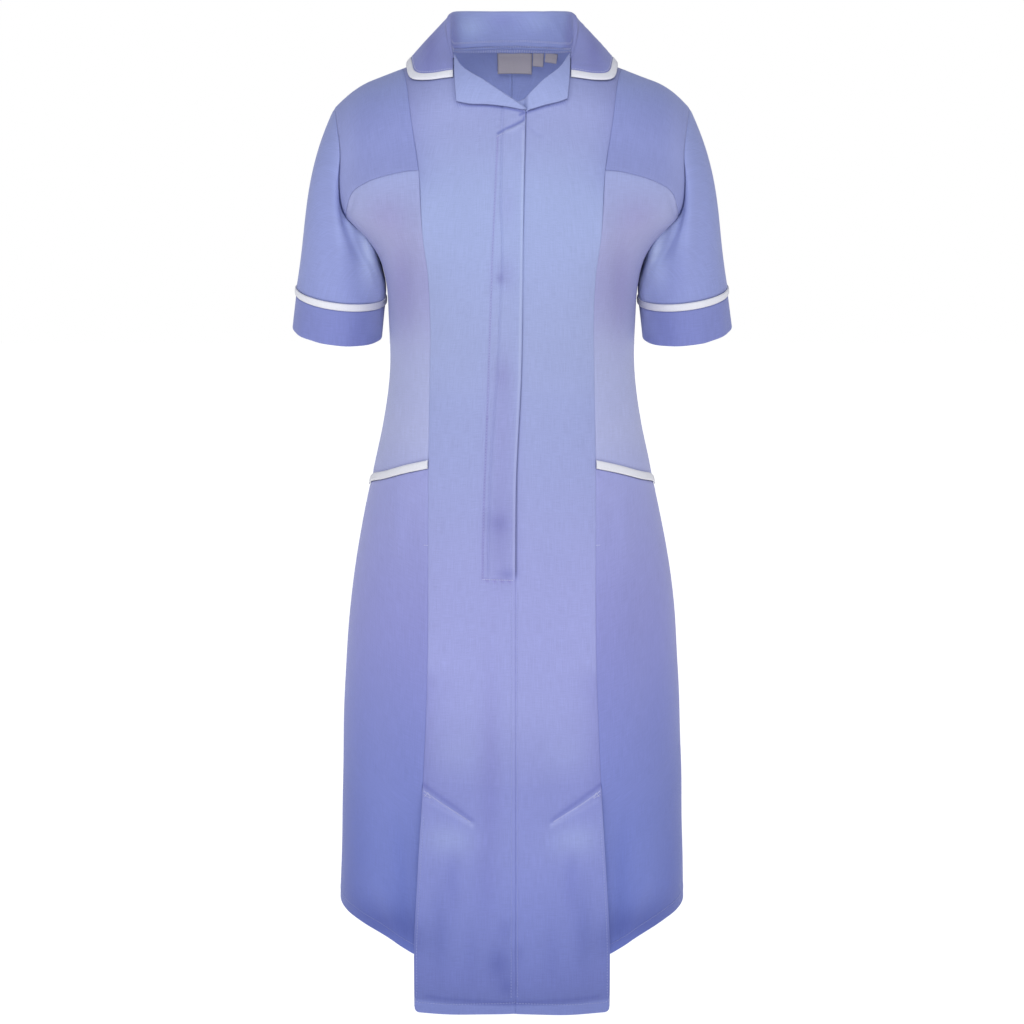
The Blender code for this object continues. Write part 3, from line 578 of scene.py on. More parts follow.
# Painted light and shade of each panel's cloth by height: darker towards the hem and on panels turned from
# the lamps, a painted highlight on the hem's folded edge, painted sheen on the side panels; gains of its red,
# green and blue
PAINTED_LIGHT_BY_HEIGHT = {
    "front": (
        (-1.055, 0.7, 0.72, 0.9),
        (-1.0445, 0.72, 0.74, 0.92),
        (-1.0415, 0.52, 0.54, 0.76),
        (-1.02, 0.58, 0.59, 0.83),
        (-0.99, 0.66, 0.67, 0.9),
        (-0.89, 0.88, 0.85, 1.03),
        (-0.8, 0.95, 0.89, 1.03),
        (-0.7, 1.2, 1.09, 1.14),
        (-0.59, 1.21, 1.09, 1.12),
        (-0.4, 1.17, 1.12, 1.06),
        (-0.28, 1.13, 1.11, 1.02),
        (-0.16, 1.24, 1.24, 1.12),
        (-0.08, 1.15, 1.09, 1.04),
        (0.0, 1.05, 1.0, 0.98),
    ),
    "yoke": ((-0.17, 0.93, 0.88, 0.92), (-0.09, 0.88, 0.85, 0.93), (-0.02, 1.0, 1.0, 1.05)),
    "side_front": (
        (-0.48, 1.33, 1.2, 1.14),
        (-0.41, 1.5, 1.36, 1.16),
        (-0.33, 1.32, 1.21, 1.06),
        (-0.25, 1.12, 0.97, 0.94),
        (-0.19, 1.22, 1.08, 0.98),
        (-0.13, 1.22, 1.16, 1.08),
    ),
    "side_skirt": (
        (-1.0, 0.6, 0.66, 0.97),
        (-0.86, 0.66, 0.69, 0.95),
        (-0.76, 0.77, 0.75, 0.97),
        (-0.61, 0.98, 0.87, 1.01),
        (-0.48, 1.2, 1.07, 1.1),
    ),
    "back": ((-1.0, 0.7, 0.7, 0.9), (-0.5, 1.05, 1.0, 1.02), (-0.1, 1.05, 1.05, 1.06)),
    "sleeve": ((-0.28, 0.98, 0.96, 1.02), (-0.06, 0.98, 0.97, 1.02)),
    "cuff": ((-0.32, 0.73, 0.71, 0.88), (-0.27, 0.76, 0.74, 0.88)),
    "lapel": ((-0.06, 1.16, 1.14, 1.07), (0.02, 1.05, 1.04, 1.04)),
    "collar": ((-0.03, 0.9, 0.83, 0.94), (0.04, 0.95, 0.88, 0.98)),
}

# Smaller patches of painted light and shade on the front, alike on both sides (painted shade in folds, by the
# pleats and near the seams, painted sheen below the pleat stitching): place across, height, reach each way,
# and gains
PAINTED_PATCHES = (
    (0.118, -0.255, 0.012, 0.06, 0.92, 0.88, 0.94),
    (0.09, 0.005, 0.009, 0.03, 0.84, 0.82, 0.91),
    (0.122, -0.93, 0.012, 0.09, 0.92, 0.94, 0.99),
    (0.07, -0.862, 0.026, 0.018, 1.24, 1.26, 1.1),
    (0.062, -0.768, 0.026, 0.022, 1.06, 1.07, 1.03),
    (0.135, -0.175, 0.022, 0.02, 0.96, 0.9, 0.94),
    (0.2, -0.92, 0.03, 0.17, 0.58, 0.62, 0.8),
    (0.145, -0.975, 0.05, 0.024, 0.58, 0.6, 0.72),
    (0.18, -0.095, 0.014, 0.05, 1.15, 1.14, 1.08),
    (0.066, -0.905, 0.008, 0.036, 0.9, 0.9, 0.95),
    (0.08, -0.96, 0.01, 0.05, 0.86, 0.87, 0.92),
    (0.045, -0.985, 0.008, 0.03, 0.93, 0.93, 0.96),
)
# The same on the sleeves only: painted light lifting the shade on the sleeves' inner sides, next to the body
SLEEVE_PAINTED_LIGHT = (
    (0.152, -0.22, 0.018, 0.03, 1.85, 1.85, 1.45),
    (0.137, -0.262, 0.014, 0.06, 2.7, 2.6, 1.9),
    (0.16, -0.225, 0.01, 0.03, 1.3, 1.3, 1.18),
    (0.178, -0.19, 0.01, 0.022, 1.5, 1.5, 1.3),
    (0.15, -0.305, 0.012, 0.022, 1.25, 1.25, 1.12),
)
# The same on the wearer's right or left only: painted shade along the fly and its puckers, the centre seam
# and the hem, painted light and shade inside the neck
RIGHT_PAINTED_PATCHES = (
    (-0.01, -0.4, 0.016, 0.09, 0.93, 0.88, 0.94),
    (-0.013, -0.52, 0.016, 0.055, 0.84, 0.82, 0.88),
    (-0.006, -0.16, 0.01, 0.02, 0.95, 0.92, 0.96),
    (-0.0125, -0.237, 0.004, 0.005, 0.8, 0.78, 0.86),
    (-0.008, -0.232, 0.012, 0.018, 0.9, 0.87, 0.93),
    (-0.01, -0.345, 0.01, 0.02, 0.9, 0.87, 0.92),
    (-0.014, -0.506, 0.012, 0.011, 0.82, 0.81, 0.89),
    (-0.005, -0.562, 0.01, 0.006, 0.76, 0.76, 0.86),
    (-0.014, -0.996, 0.013, 0.017, 0.74, 0.75, 0.84),
    (-0.006, -1.022, 0.008, 0.01, 0.78, 0.79, 0.87),
    (-0.008, -0.96, 0.008, 0.012, 0.88, 0.88, 0.93),
    (0.008, -0.985, 0.006, 0.01, 0.9, 0.9, 0.94),
    (-0.024, -0.775, 0.012, 0.1, 0.9, 0.88, 0.93),
    (-0.03, -0.9, 0.012, 0.06, 0.94, 0.93, 0.96),
    (-0.046, 0.024, 0.014, 0.012, 1.3, 1.34, 1.18),
    (0.03, 0.03, 0.012, 0.008, 1.1, 1.12, 1.06),
    (-0.01, 0.032, 0.012, 0.007, 0.92, 0.9, 0.95),
)
# Fine painted lines of light and shade (painted shadows of creases, stitch grooves and the hem, painted
# highlights on the pleat ridges, creases and the fly's folded edge): their width, gains and points (across,
# height)
PAINTED_LINES_BOTH = (
    (0.0016, (1.26, 1.26, 1.12), ((0.099, -0.8095), (0.044, -0.844))),
    (0.0018, (0.8, 0.8, 0.9), ((0.099, -0.803), (0.044, -0.8395))),
    (0.002, (1.12, 1.12, 1.05), ((0.044, -0.8465), (0.096, -0.82))),
)
PAINTED_LINES = (
    (0.0013, (0.56, 0.58, 0.78), (
        (0.0129, -0.07), (0.0118, -0.0735), (0.004, -0.0775), (-0.0064, -0.082), (-0.015, -0.0868),
    )),
    (0.0018, (1.14, 1.14, 1.06), ((0.012, -0.0765), (0.004, -0.0806), (-0.0064, -0.085))),
    (0.0016, (0.94, 0.94, 0.97), ((0.0165, -0.079), (0.024, -0.086), (0.033, -0.0905))),
    (0.001, (0.9, 0.82, 0.91), ((-0.015, -0.09), (-0.0201, -0.197), (-0.0247, -0.326), (-0.0271, -0.393))),
    (0.001, (0.84, 0.76, 0.87), (
        (-0.0271, -0.393), (-0.0307, -0.484), (-0.0323, -0.569), (0.0025, -0.57),
    )),
    (0.0011, (1.18, 1.18, 1.08), (
        (0.012, -0.085), (0.0105, -0.156), (0.0079, -0.346), (0.0024, -0.465), (0.0017, -0.567),
    )),
    (0.0022, (0.84, 0.84, 0.92), ((-0.096, -1.038), (0.0, -1.039), (0.096, -1.038))),
)


def near_line(x, z, line):
    """Distance across and up from each place to a line through points."""
    far = np.full(x.shape, 1.0)
    for (x0, z0), (x1, z1) in zip(line[:-1], line[1:]):
        dx, dz = x1 - x0, z1 - z0
        t = np.clip(((x - x0) * dx + (z - z0) * dz) / (dx * dx + dz * dz), 0, 1)
        far = np.minimum(far, np.hypot(x - x0 - t * dx, z - z0 - t * dz))
    return far


def lapel_line(name):
    """The free edge of a lapel seen from the front, set a little below it, where its painted shadow goes."""
    places = surface(*seam(LAPEL_EDGES[name])(np.linspace(0, 1, 24))) * (SIDES[name], 1, 1)
    return [(float(x), float(z) - 0.0008) for x, _, z in places]


# Painted light and shade for a panel's points, as gains of the cloth's colour
def painted_light_of(name, points, normal):
    x, y, z = points[..., 0], points[..., 1], points[..., 2]
    gain = np.ones((*x.shape, 3))
    panel = [key for key in sorted(PAINTED_LIGHT_BY_HEIGHT, key=len) if key in name]
    # painted light and shade by height, from the panel's table
    if panel:
        rows = np.array(PAINTED_LIGHT_BY_HEIGHT[panel[-1]])
        gain = np.stack([monotone(rows[:, 0], rows[:, i])(z) for i in (1, 2, 3)], axis=-1)
    front = smooth(0.5 - normal[..., 1] * 2)
    # painted patches of light and shade, on cloth that faces the front
    painted_patches = [(np.abs(x), row) for row in PAINTED_PATCHES] + [(x, row) for row in RIGHT_PAINTED_PATCHES]
    # painted light on the sleeves' inner sides
    if "sleeve" in name or "cuff" in name:
        painted_patches += [(np.abs(x), row) for row in SLEEVE_PAINTED_LIGHT]
    for across, (px, pz, wide, high, *colour) in painted_patches:
        share = np.exp(-(((across - px) / wide) ** 2) - ((z - pz) / high) ** 2) * front
        gain *= 1 + (np.array(colour) - 1) * share[..., None]
    # painted light on the collar's back half, where its stand is seen inside the neck
    if "collar" in name:
        gain *= 1 + np.array((0.14, 0.22, 0.1)) * smooth((y - 0.02) / 0.02)[..., None]
    if "cloth_front" in name:
        # painted lines of light and shade on the front panels
        lines = [(x, *row) for row in PAINTED_LINES] + [(np.abs(x), *row) for row in PAINTED_LINES_BOTH]
        # painted shadow beneath each lapel's free edge
        lines += [(x, 0.0014, (0.5, 0.52, 0.74), lapel_line(side)) for side in SIDES]
        for across, wide, colour, line in lines:
            share = np.exp(-((near_line(across, z, line) / wide) ** 2)) * front
            gain *= 1 + (np.array(colour) - 1) * share[..., None]
        # painted shade on the front panel along its princess seam, near the yoke and above the pleat
        edge = np.exp(-ways(points)["outer"] / 0.016)
        skirt = smooth((-0.66 - z) / 0.03) * smooth((z + 0.83) / 0.03)
        edge = edge * np.maximum(smooth((z + 0.17) / 0.05), skirt)
        gain *= 1 - np.array((0.18, 0.19, 0.11)) * edge[..., None]
    return gain


def sheet(name, node, points, side, held, rests_on, finish=None, wall=WALL, closed=False):
    """A cloth piece over a grid of points, mirrored for side -1, with its width and length as UVs and its
    painted light and shade as a colour on its points.
    """
    finish = finish or CLOTH
    rows, columns = points.shape[:2]
    far = ways(points)
    points = points * (side, 1, 1)
    if closed:
        points[:, -1] = points[:, 0]
    index = np.arange(rows * columns).reshape(rows, columns)
    quads = np.stack([index[:-1, :-1], index[:-1, 1:], index[1:, 1:], index[1:, :-1]], axis=-1)
    if closed:
        quads[:, -1, 1], quads[:, -1, 2] = index[:-1, 0], index[1:, 0]
    quads = quads.reshape(-1, 4)
    uvs = np.stack([far["inner"], far["bottom"]], axis=-1)
    corner_uv = np.stack([uvs[:-1, :-1], uvs[:-1, 1:], uvs[1:, 1:], uvs[1:, :-1]], axis=2).reshape(-1, 4, 2)
    if side < 0:
        quads, corner_uv = quads[:, ::-1], corner_uv[:, ::-1]
    normal = facing(points) * side
    # painted light and shade, kept as a colour on the points
    painted_light = painted_light_of(name, points, normal).reshape(-1, 3)
    vertices = points.reshape(-1, 3)
    if closed:
        keep = index[:, :-1].ravel()
        renumber = np.full(rows * columns, -1)
        renumber[keep] = np.arange(len(keep))
        quads, vertices, painted_light = renumber[quads], vertices[keep], painted_light[keep]
    mesh = bpy.data.meshes.new(name)
    mesh.from_pydata(vertices.tolist(), [], quads.tolist())
    layer = mesh.uv_layers.new(name="cloth")
    layer.data.foreach_set("uv", corner_uv.astype(np.float32).ravel())
    colour = mesh.color_attributes.new("painted_light", "FLOAT_COLOR", "POINT")
    opaque = np.concatenate([painted_light, np.ones((len(painted_light), 1))], axis=1)
    colour.data.foreach_set("color", opaque.astype(np.float32).ravel())
    mesh.materials.append(finish)
    mesh.shade_smooth()
    piece = bpy.data.objects.new(name, mesh)
    bpy.context.scene.collection.objects.link(piece)
    if wall:
        modifier = piece.modifiers.new("wall", "SOLIDIFY")
        modifier.thickness = wall
        modifier.offset = -1
    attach(piece, "root")
    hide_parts(node)
    # Blender adds .001 to the name of a finish where the frame has one of that name
    PANELS[name] = {"points": points, "normals": normal, "piece": piece, "held": held, "rests_on": rests_on}


def follow(name, edge, far, low=0.0, high=1.0, lift=0.0002):
    """Points and normals on a built panel along a line this far from one of its edges."""
    points, normals = PANELS[name]["points"], PANELS[name]["normals"]
    reach = ways(points)[edge]
    if edge in ("bottom", "top"):
        points, normals, reach = points.transpose(1, 0, 2), normals.transpose(1, 0, 2), reach.T
    line, up = [], []
    first, last = int(low * (len(points) - 1)), int(high * (len(points) - 1))
    for k in range(first, last + 1):
        order = np.argsort(reach[k])
        line.append([np.interp(far, reach[k][order], points[k][order, i]) for i in range(3)])
        up.append([np.interp(far, reach[k][order], normals[k][order, i]) for i in range(3)])
    return np.array(line) + np.array(up) * lift, np.array(up)


def tree_of(name):
    mesh = PANELS[name]["piece"].data
    return BVHTree.FromPolygons([v.co for v in mesh.vertices], [tuple(p.vertices) for p in mesh.polygons])


def cast(names, line, lift=0.0002, spacing=0.002):
    """A line given by (across, height) points, laid on the front of built panels."""
    trees = [tree_of(name) for name in names]
    line = np.array(line, float)
    marks_ = np.concatenate([[0], np.cumsum(np.hypot(*np.diff(line, axis=0).T))])
    places = np.arange(0, marks_[-1], spacing)
    found, up = [], []
    for x, z in zip(np.interp(places, marks_, line[:, 0]), np.interp(places, marks_, line[:, 1])):
        hits = [tree.ray_cast(Vector((x, -1, z)), Vector((0, 1, 0))) for tree in trees]
        hits = [hit for hit in hits if hit[0] is not None]
        if hits:
            place, normal, _, _ = min(hits, key=lambda hit: hit[3])
            normal = normal if normal.y < 0 else -normal
            found.append(place + normal * lift)
            up.append(normal)
    return np.array(found), np.array(up)


def thread(name, lines, finish, length=0.0024, gap=0.0009, radius=0.00024):
    """Stitches along lines, joined as one mesh."""
    vertices, faces = [], []
    for line, up in lines:
        steps = np.linalg.norm(np.diff(line, axis=0), axis=1)
        marks_ = np.concatenate([[0], np.cumsum(steps)])
        for start in np.arange(0, marks_[-1] - length, length + gap):
            reach = (start, start + length)
            ends = np.array([[np.interp(m, marks_, line[:, i]) for i in range(3)] for m in reach])
            normal = np.array([np.interp(start, marks_, up[:, i]) for i in range(3)])
            way = ends[1] - ends[0]
            way /= max(np.linalg.norm(way), 1e-9)
            across = np.cross(way, normal)
            across /= max(np.linalg.norm(across), 1e-9)
            base = len(vertices)
            vertices.append(ends[0] - normal * radius)
            for share in (0.2, 0.8):
                middle = ends[0] + (ends[1] - ends[0]) * share
                for a in (0, 90, 180, 270):
                    a = math.radians(a)
                    vertices.append(middle + radius * (across * math.cos(a) + normal * math.sin(a)))
            vertices.append(ends[1] - normal * radius)
            for k in range(4):
                n = (k + 1) % 4
                faces.append((base, base + 1 + n, base + 1 + k))
                faces.append((base + 1 + k, base + 1 + n, base + 5 + n, base + 5 + k))
                faces.append((base + 9, base + 5 + k, base + 5 + n))
    mesh = bpy.data.meshes.new(name)
    mesh.from_pydata([tuple(v) for v in vertices], [], faces)
    mesh.materials.append(finish)
    mesh.shade_smooth()
    piece = bpy.data.objects.new(name, mesh)
    bpy.context.scene.collection.objects.link(piece)
    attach(piece, "root")
    return piece


# ---------------------------------------------------------------- materials


def nodes_of(name):
    made = bpy.data.materials.new(name)
    made.use_nodes = True
    tree = made.node_tree
    return made, tree, tree.nodes["Principled BSDF"]


def add(tree, kind, inputs=(), **settings):
    node = tree.nodes.new(kind)
    for key, value in settings.items():
        setattr(node, key, value)
    for key, value in dict(inputs).items():
        if isinstance(value, bpy.types.NodeSocket):
            tree.links.new(value, node.inputs[key])
        else:
            node.inputs[key].default_value = value
    return node


def streaks(tree, uv, scale, detail=3.0):
    mapping = add(tree, "ShaderNodeMapping", {"Vector": uv, "Scale": scale})
    return add(
        tree, "ShaderNodeTexNoise", {"Vector": mapping.outputs["Vector"], "Scale": 1.0, "Detail": detail}
    ).outputs["Fac"]


def between(tree, value, low, high):
    values = {"Value": value, "From Min": 0.3, "From Max": 0.7, "To Min": low, "To Max": high}
    return add(tree, "ShaderNodeMapRange", values).outputs["Result"]


def woven(name, colour, twill, roughness, sheen, streak=0.05, with_painted_light=True, bump=0.25):
    """Woven cloth: twill ribs, yarns of uneven thickness, broad differences of dye, and where asked the
    painted light and shade kept on each piece.
    """
    made, tree, shader = nodes_of(name)
    uv = add(tree, "ShaderNodeUVMap", uv_map="cloth").outputs["UV"]
    place = add(tree, "ShaderNodeTexCoord").outputs["Object"]
    ribs = add(
        tree,
        "ShaderNodeTexWave",
        {"Vector": uv, "Scale": twill, "Distortion": 0.6, "Detail": 2.0, "Detail Scale": 3.0},
        wave_type="BANDS",
        bands_direction="DIAGONAL",
    ).outputs["Fac"]
    weft = streaks(tree, uv, (70.0, 1300.0, 1.0))
    warp = streaks(tree, uv, (1100.0, 45.0, 1.0))
    cloud = streaks(tree, place, (9.0, 9.0, 5.0))
    tones = [
        between(tree, weft, 1 - streak, 1 + streak),
        between(tree, warp, 1 - streak, 1 + streak),
        between(tree, cloud, 0.975, 1.025),
        add(tree, "ShaderNodeMapRange", {"Value": ribs, "To Min": 0.95, "To Max": 1.03}).outputs["Result"],
    ]
    product = tones[0]
    for tone in tones[1:]:
        product = add(tree, "ShaderNodeMath", {0: product, 1: tone}, operation="MULTIPLY").outputs[0]
    base = (*colour, 1)
    # the cloth's colour times the painted light and shade kept on each piece
    if with_painted_light:
        painted_light = add(tree, "ShaderNodeVertexColor", layer_name="painted_light").outputs["Color"]
        colours = {"Factor": 1.0, 6: base, 7: painted_light}
        colour = add(tree, "ShaderNodeMix", colours, data_type="RGBA", blend_type="MULTIPLY").outputs[2]
    scaled = add(tree, "ShaderNodeVectorMath", {0: colour, "Scale": product}, operation="SCALE").outputs[0]
    tree.links.new(scaled, shader.inputs["Base Color"])
    height = add(tree, "ShaderNodeMath", {0: ribs, 1: weft}, operation="ADD").outputs[0]
    relief = add(
        tree, "ShaderNodeBump", {"Height": height, "Strength": bump, "Distance": 0.0003}
    ).outputs["Normal"]
    tree.links.new(relief, shader.inputs["Normal"])
    shader.inputs["Roughness"].default_value = roughness
    shader.inputs["Specular IOR Level"].default_value = 0.25
    shader.inputs["Sheen Weight"].default_value = sheen
    shader.inputs["Sheen Roughness"].default_value = 0.45
    shader.inputs["Sheen Tint"].default_value = (0.8, 0.84, 1.0, 1)
    return made


CLOTH = woven("uniform_cloth", (0.278, 0.322, 0.58), 900.0, 0.58, 0.18)
TRIM = woven("white_trim", (0.8, 0.79, 0.82), 1100.0, 0.7, 0.05, 0.02, False, 0.35)
LABEL = woven("label_cloth", (0.47, 0.42, 0.42), 1500.0, 0.45, 0.05, 0.03, False, 0.2)
THREAD = woven("thread", (0.42, 0.45, 0.72), 2600.0, 0.45, 0.1, 0.02, False, 0.1)
PALE_THREAD = woven("pale_thread", (0.66, 0.67, 0.84), 2600.0, 0.45, 0.1, 0.02, False, 0.1)

# ---------------------------------------------------------------- panels


def front_panels():
    side_neck = (float(shoulder_rise(SIDE_NECK)), SIDE_NECK)
    for name, side in SIDES.items():
        under = UNDERLAP if side > 0 else 0.0
        edge = [(rise, x * side - under) for rise, x in FLY_EDGE]
        top = NECKLINES[name][0]
        inner = rows_between(edge, FRONT_HEM, top[0])
        inner[-1] = top
        outer = princess(FRONT_CORNER)
        spots = (0.0, 0.1, 0.2, 0.3, 1.0) if side < 0 else (0.0, 0.09, 0.18, 1.0)
        place = patch(
            seam(inner),
            seam(outer),
            level_seam(inner[0], outer[0]),
            joined(
                (SIDE_NECK - top[1], even_seam((*NECKLINES[name], side_neck))),
                (PRINCESS_TOP - SIDE_NECK, shoulder_seam(SIDE_NECK, PRINCESS_TOP)),
            ),
            marks(80, spots, 0.05, 2.4),
            marks(350, (0.0, 0.24, 0.975), 0.03, 1.6),
            4.0,
        )
        flat_points = surface(*place)
        far = ways(flat_points)
        corner = 0.006 * (1 - np.sqrt(1 - np.clip(1 - far["outer"] / 0.006, 0, 1) ** 2))
        place = place[0], place[1] + corner * smooth(1 - far["bottom"] / 0.03)
        fly = smooth((place[1] - FLY_END + 0.004) / 0.012)
        if side < 0:
            lift = (0.0005 + 0.0011 * fly) * smooth(1 - (far["inner"] - 0.004) / 0.034)
            line = 0.0302 + 0.002 * smooth((-0.35 - place[1]) / 0.2)
            lift -= fly * 0.0012 * np.exp(-(((far["inner"] - line) / 0.0014) ** 2))
            pucker = uneven(place[1], 0.011, 0.4) * np.exp(-(((far["inner"] - line - 0.004) / 0.006) ** 2))
            lift += fly * 0.00034 * pucker * (1 + 1.4 * smooth((-0.38 - place[1]) / 0.1))
            lift += 0.00022 * (1 - fly) * uneven(place[1], 0.016, 1.4) * np.exp(-far["inner"] / 0.008)
        else:
            lift = -(0.0004 + 0.0018 * fly) * smooth(1 - (far["inner"] - 0.008) / 0.006)
            lift += 0.00025 * uneven(place[1], 0.017, 2.2) * np.exp(-np.abs(far["inner"] - 0.011) / 0.007)
        points = worn(place, side, lift, forward=True)
        points = sunk(points, {"outer": "flat"}, 1.3 * side)
        points = turned(points, "bottom", HEM_TURN)
        if side < 0:
            points = turned(points, "inner", 0.01, 0.0008)
        rests_on = [f"cloth_yoke_{name}", f"cloth_back_{name}"]
        sheet(f"cloth_front_{name}", f"front_{name}", points, side, "hung", rests_on)


def side_front_panels():
    for name, side in SIDES.items():
        inner = princess(POCKET_BACK_END, YOKE_PRINCESS)
        lower_armhole = [row for row in armhole(ARMHOLE_FRONT) if row[0] <= NOTCH[0]]
        place = patch(
            seam(inner),
            side_seam(POCKET_BACK_END),
            straight((float(around_at(inner[0][1], inner[0][0])), POCKET_BACK_END), (1.0, POCKET_BACK_END)),
            joined((2, seam(YOKE_SEAM)), (1, seam(lower_armhole))),
            marks(40, (0.0, 1.0), 0.04, 1.5),
            marks(132, (1.0,), 0.04, 1.5),
        )
        below = pocket_rise(place[0]) + 0.01 - place[1]
        points = worn(place, side, -0.003 * smooth(below / 0.022))
        points = sunk(points, {"inner": "flat", "outer": "seam", "top": "seam"}, 2.6 * side)
        sheet(f"cloth_side_front_{name}", f"side_front_{name}", points, side, "hung", [f"cloth_yoke_{name}"])


def pocket_rise(around):
    rows = [(float(around_at(half, rise)), rise) for rise, half in POCKET_EDGE]
    ways_, rises = zip(*rows, (1.0, POCKET_SIDE))
    return monotone(ways_, rises)(around)


def pocket_seam(drop):
    start = float(around_at(POCKET_EDGE[0][1], POCKET_EDGE[0][0]))

    def curve(t):
        around = start + (1 - start) * t
        return around, pocket_rise(around) - drop

    return curve


def pocket_bindings():
    for name, side in SIDES.items():
        start, end = pocket_seam(0.0)(np.array([0.0, 1.0]))[1]
        half = POCKET_EDGE[0][1]
        v = np.linspace(0, 1, 9)
        place = patch(
            level_seam((start - TRIM_WIDTH, half), (start, half)),
            side_seam(end - TRIM_WIDTH, end),
            pocket_seam(TRIM_WIDTH),
            pocket_seam(0.0),
            marks(60),
            v,
        )
        crown = 0.001 + 0.0009 * np.sqrt(np.clip(1 - (2 * v - 1) ** 4, 0, 1))[:, None] * np.ones(61)
        points = worn(place, side, crown)
        points = turned(points, "top", 0.006, 0.0006)
        rests_on = [f"cloth_side_skirt_{name}"]
        trim = f"binding_pocket_{name}"
        sheet(trim, f"pocket_trim_{name}", points, side, "folded", rests_on, TRIM, TRIM_WALL)


def side_skirt_panels():
    for name, side in SIDES.items():
        top = pocket_seam(TRIM_WIDTH)
        start, end = top(np.array([0.0, 1.0]))[1]
        hidden = [(PLEAT_HEM, PLEAT_INNER[1]), PLEAT_INNER]
        upper = princess(PLEAT_TOP - 0.012, float(start))
        upper[-1] = (float(start), POCKET_EDGE[0][1])
        inner_hem = (float(around_at(PLEAT_INNER[1], PLEAT_HEM)), PLEAT_HEM)
        start_hem, end_hem = np.array(seam(SKIRT_HEM)(np.array([0.0, 1.0]))).T
        ends = straight(inner_hem, start_hem), straight(end_hem, (1.0, SIDE_HEM))
        place = patch(
            joined((3, seam(hidden)), (1, seam([PLEAT_INNER, upper[0]])), (6, seam(upper))),
            side_seam(SIDE_HEM, float(end)),
            joined((3, ends[0]), (5, seam(SKIRT_HEM)), (2, ends[1])),
            top,
            marks(56, (0.0, 1.0), 0.04, 1.5),
            marks(165, (0.0, 1.0), 0.03, 1.0),
        )
        behind = smooth((princess_half(place[1]) - half_at(*place)) / 0.006)
        points = worn(place, side, -0.0026 * behind)
        points = sunk(points, {"inner": "flat", "outer": "seam", "top": "flat"}, 3.9 * side)
        points = turned(points, "bottom", HEM_TURN)
        rests_on = [f"cloth_side_front_{name}"]
        sheet(f"cloth_side_skirt_{name}", f"side_skirt_{name}", points, side, "hung", rests_on)


def pleat_return_panels():
    for name, side in SIDES.items():
        outer = [(rise, half - 0.0015) for rise, half in princess(PLEAT_HEM, PLEAT_TOP - 0.032)]
        inner = [(PLEAT_HEM, PLEAT_INNER[1] + 0.004), (PLEAT_INNER[0] - 0.008, PLEAT_INNER[1] + 0.004)]
        place = patch(
            seam(inner),
            seam(outer),
            level_seam(inner[0], outer[0]),
            level_seam(inner[1], outer[-1]),
            marks(14),
            marks(44),
        )
        points = worn(place, side)
        points[..., 1] -= 0.62 * pull_forward(place[1])
        rests_on = [f"cloth_front_{name}"]
        sheet(f"cloth_pleat_return_{name}", f"pleat_return_{name}", points, side, "hung", rests_on)


def back_panels():
    for name, side in SIDES.items():
        nape = BACK_NECKLINE[0]
        neck = ((float(shoulder_rise(SIDE_NECK)), SIDE_NECK), *BACK_NECKLINE[::-1])
        place = patch(
            joined((3, side_seam(SIDE_HEM)), (1, seam(armhole(ARMHOLE_BACK)[::-1], back=True))),
            straight((2.0, BACK_HEM), (2.0, nape[0])),
            straight((1.0, SIDE_HEM), (2.0, BACK_HEM)),
            joined((2, shoulder_seam(TIP_HALF, SIDE_NECK, back=True)), (1, seam(neck, back=True))),
            marks(72, (0.0, 1.0), 0.03, 1.5),
            marks(250, (0.0, 1.0), 0.03, 1.0),
        )
        points = sunk(worn(place, side), {"inner": "seam", "outer": "seam"}, 5.2 * side)
        points = turned(points, "bottom", HEM_TURN)
        sheet(f"cloth_back_{name}", f"back_{name}", points, side, "hung", ["collar_cloth"])


def yoke_panels():
    for name, side in SIDES.items():
        upper_armhole = [row for row in armhole(ARMHOLE_FRONT) if row[0] >= NOTCH[0]][::-1]
        place = patch(
            seam(princess(YOKE_PRINCESS)),
            seam(upper_armhole),
            seam(YOKE_SEAM),
            shoulder_seam(PRINCESS_TOP, TIP_HALF),
            marks(34, (0.0, 1.0), 0.05, 1.5),
            marks(60, (0.0, 1.0), 0.04, 1.5),
        )
        forms = {"inner": "seam", "outer": "seam", "bottom": "flat", "top": "flat"}
        points = sunk(worn(place, side), forms, 7.1 * side)
        sheet(f"cloth_yoke_{name}", f"yoke_{name}", points, side, "draped", [f"cloth_back_{name}"])


def placket():
    top, bottom = -0.066, FLY_END
    line = rows_between(FLY_EDGE, bottom, top)
    place = patch(
        seam([(rise, x - 0.03) for rise, x in line]),
        seam([(rise, x + 0.012) for rise, x in line]),
        level_seam((bottom, line[0][1] - 0.03), (bottom, line[0][1] + 0.012)),
        level_seam((top, line[-1][1] - 0.03), (top, line[-1][1] + 0.012)),
        marks(14),
        marks(120),
    )
    points = worn(place, 1, -0.0036)
    sheet("cloth_placket", "front_placket", points, 1, "hung", ["cloth_front_left"])


def lapel_panels():
    for name, side in SIDES.items():
        roll, free = NECKLINES[name], LAPEL_EDGES[name]
        outer = (free[-1], *LAPEL_OUTER, (roll[-1][0], roll[-1][1] - 0.0014))
        v = marks(26, (1.0,), 0.15, 1.0)
        place = patch(
            level_seam(free[0], roll[0]),
            seam(outer),
            seam(free),
            seam((*roll[:-1], outer[-1])),
            marks(72),
            v,
        )
        lift = 0.0036 + 0.0014 * np.sin(v * math.pi / 2)[:, None] * np.ones(73)
        if side > 0:
            lift -= 0.0058 * smooth((0.0185 - half_at(*place)) / 0.007)
        points = surface(*place) + outward(*place) * lift[..., None]
        points = turned(points, "top", 0.007, 0.0021)
        rests_on = [f"cloth_front_{name}"]
        sheet(f"lapel_cloth_{name}", f"lapel_{name}", points, side, "folded", rests_on, wall=FACED_WALL)


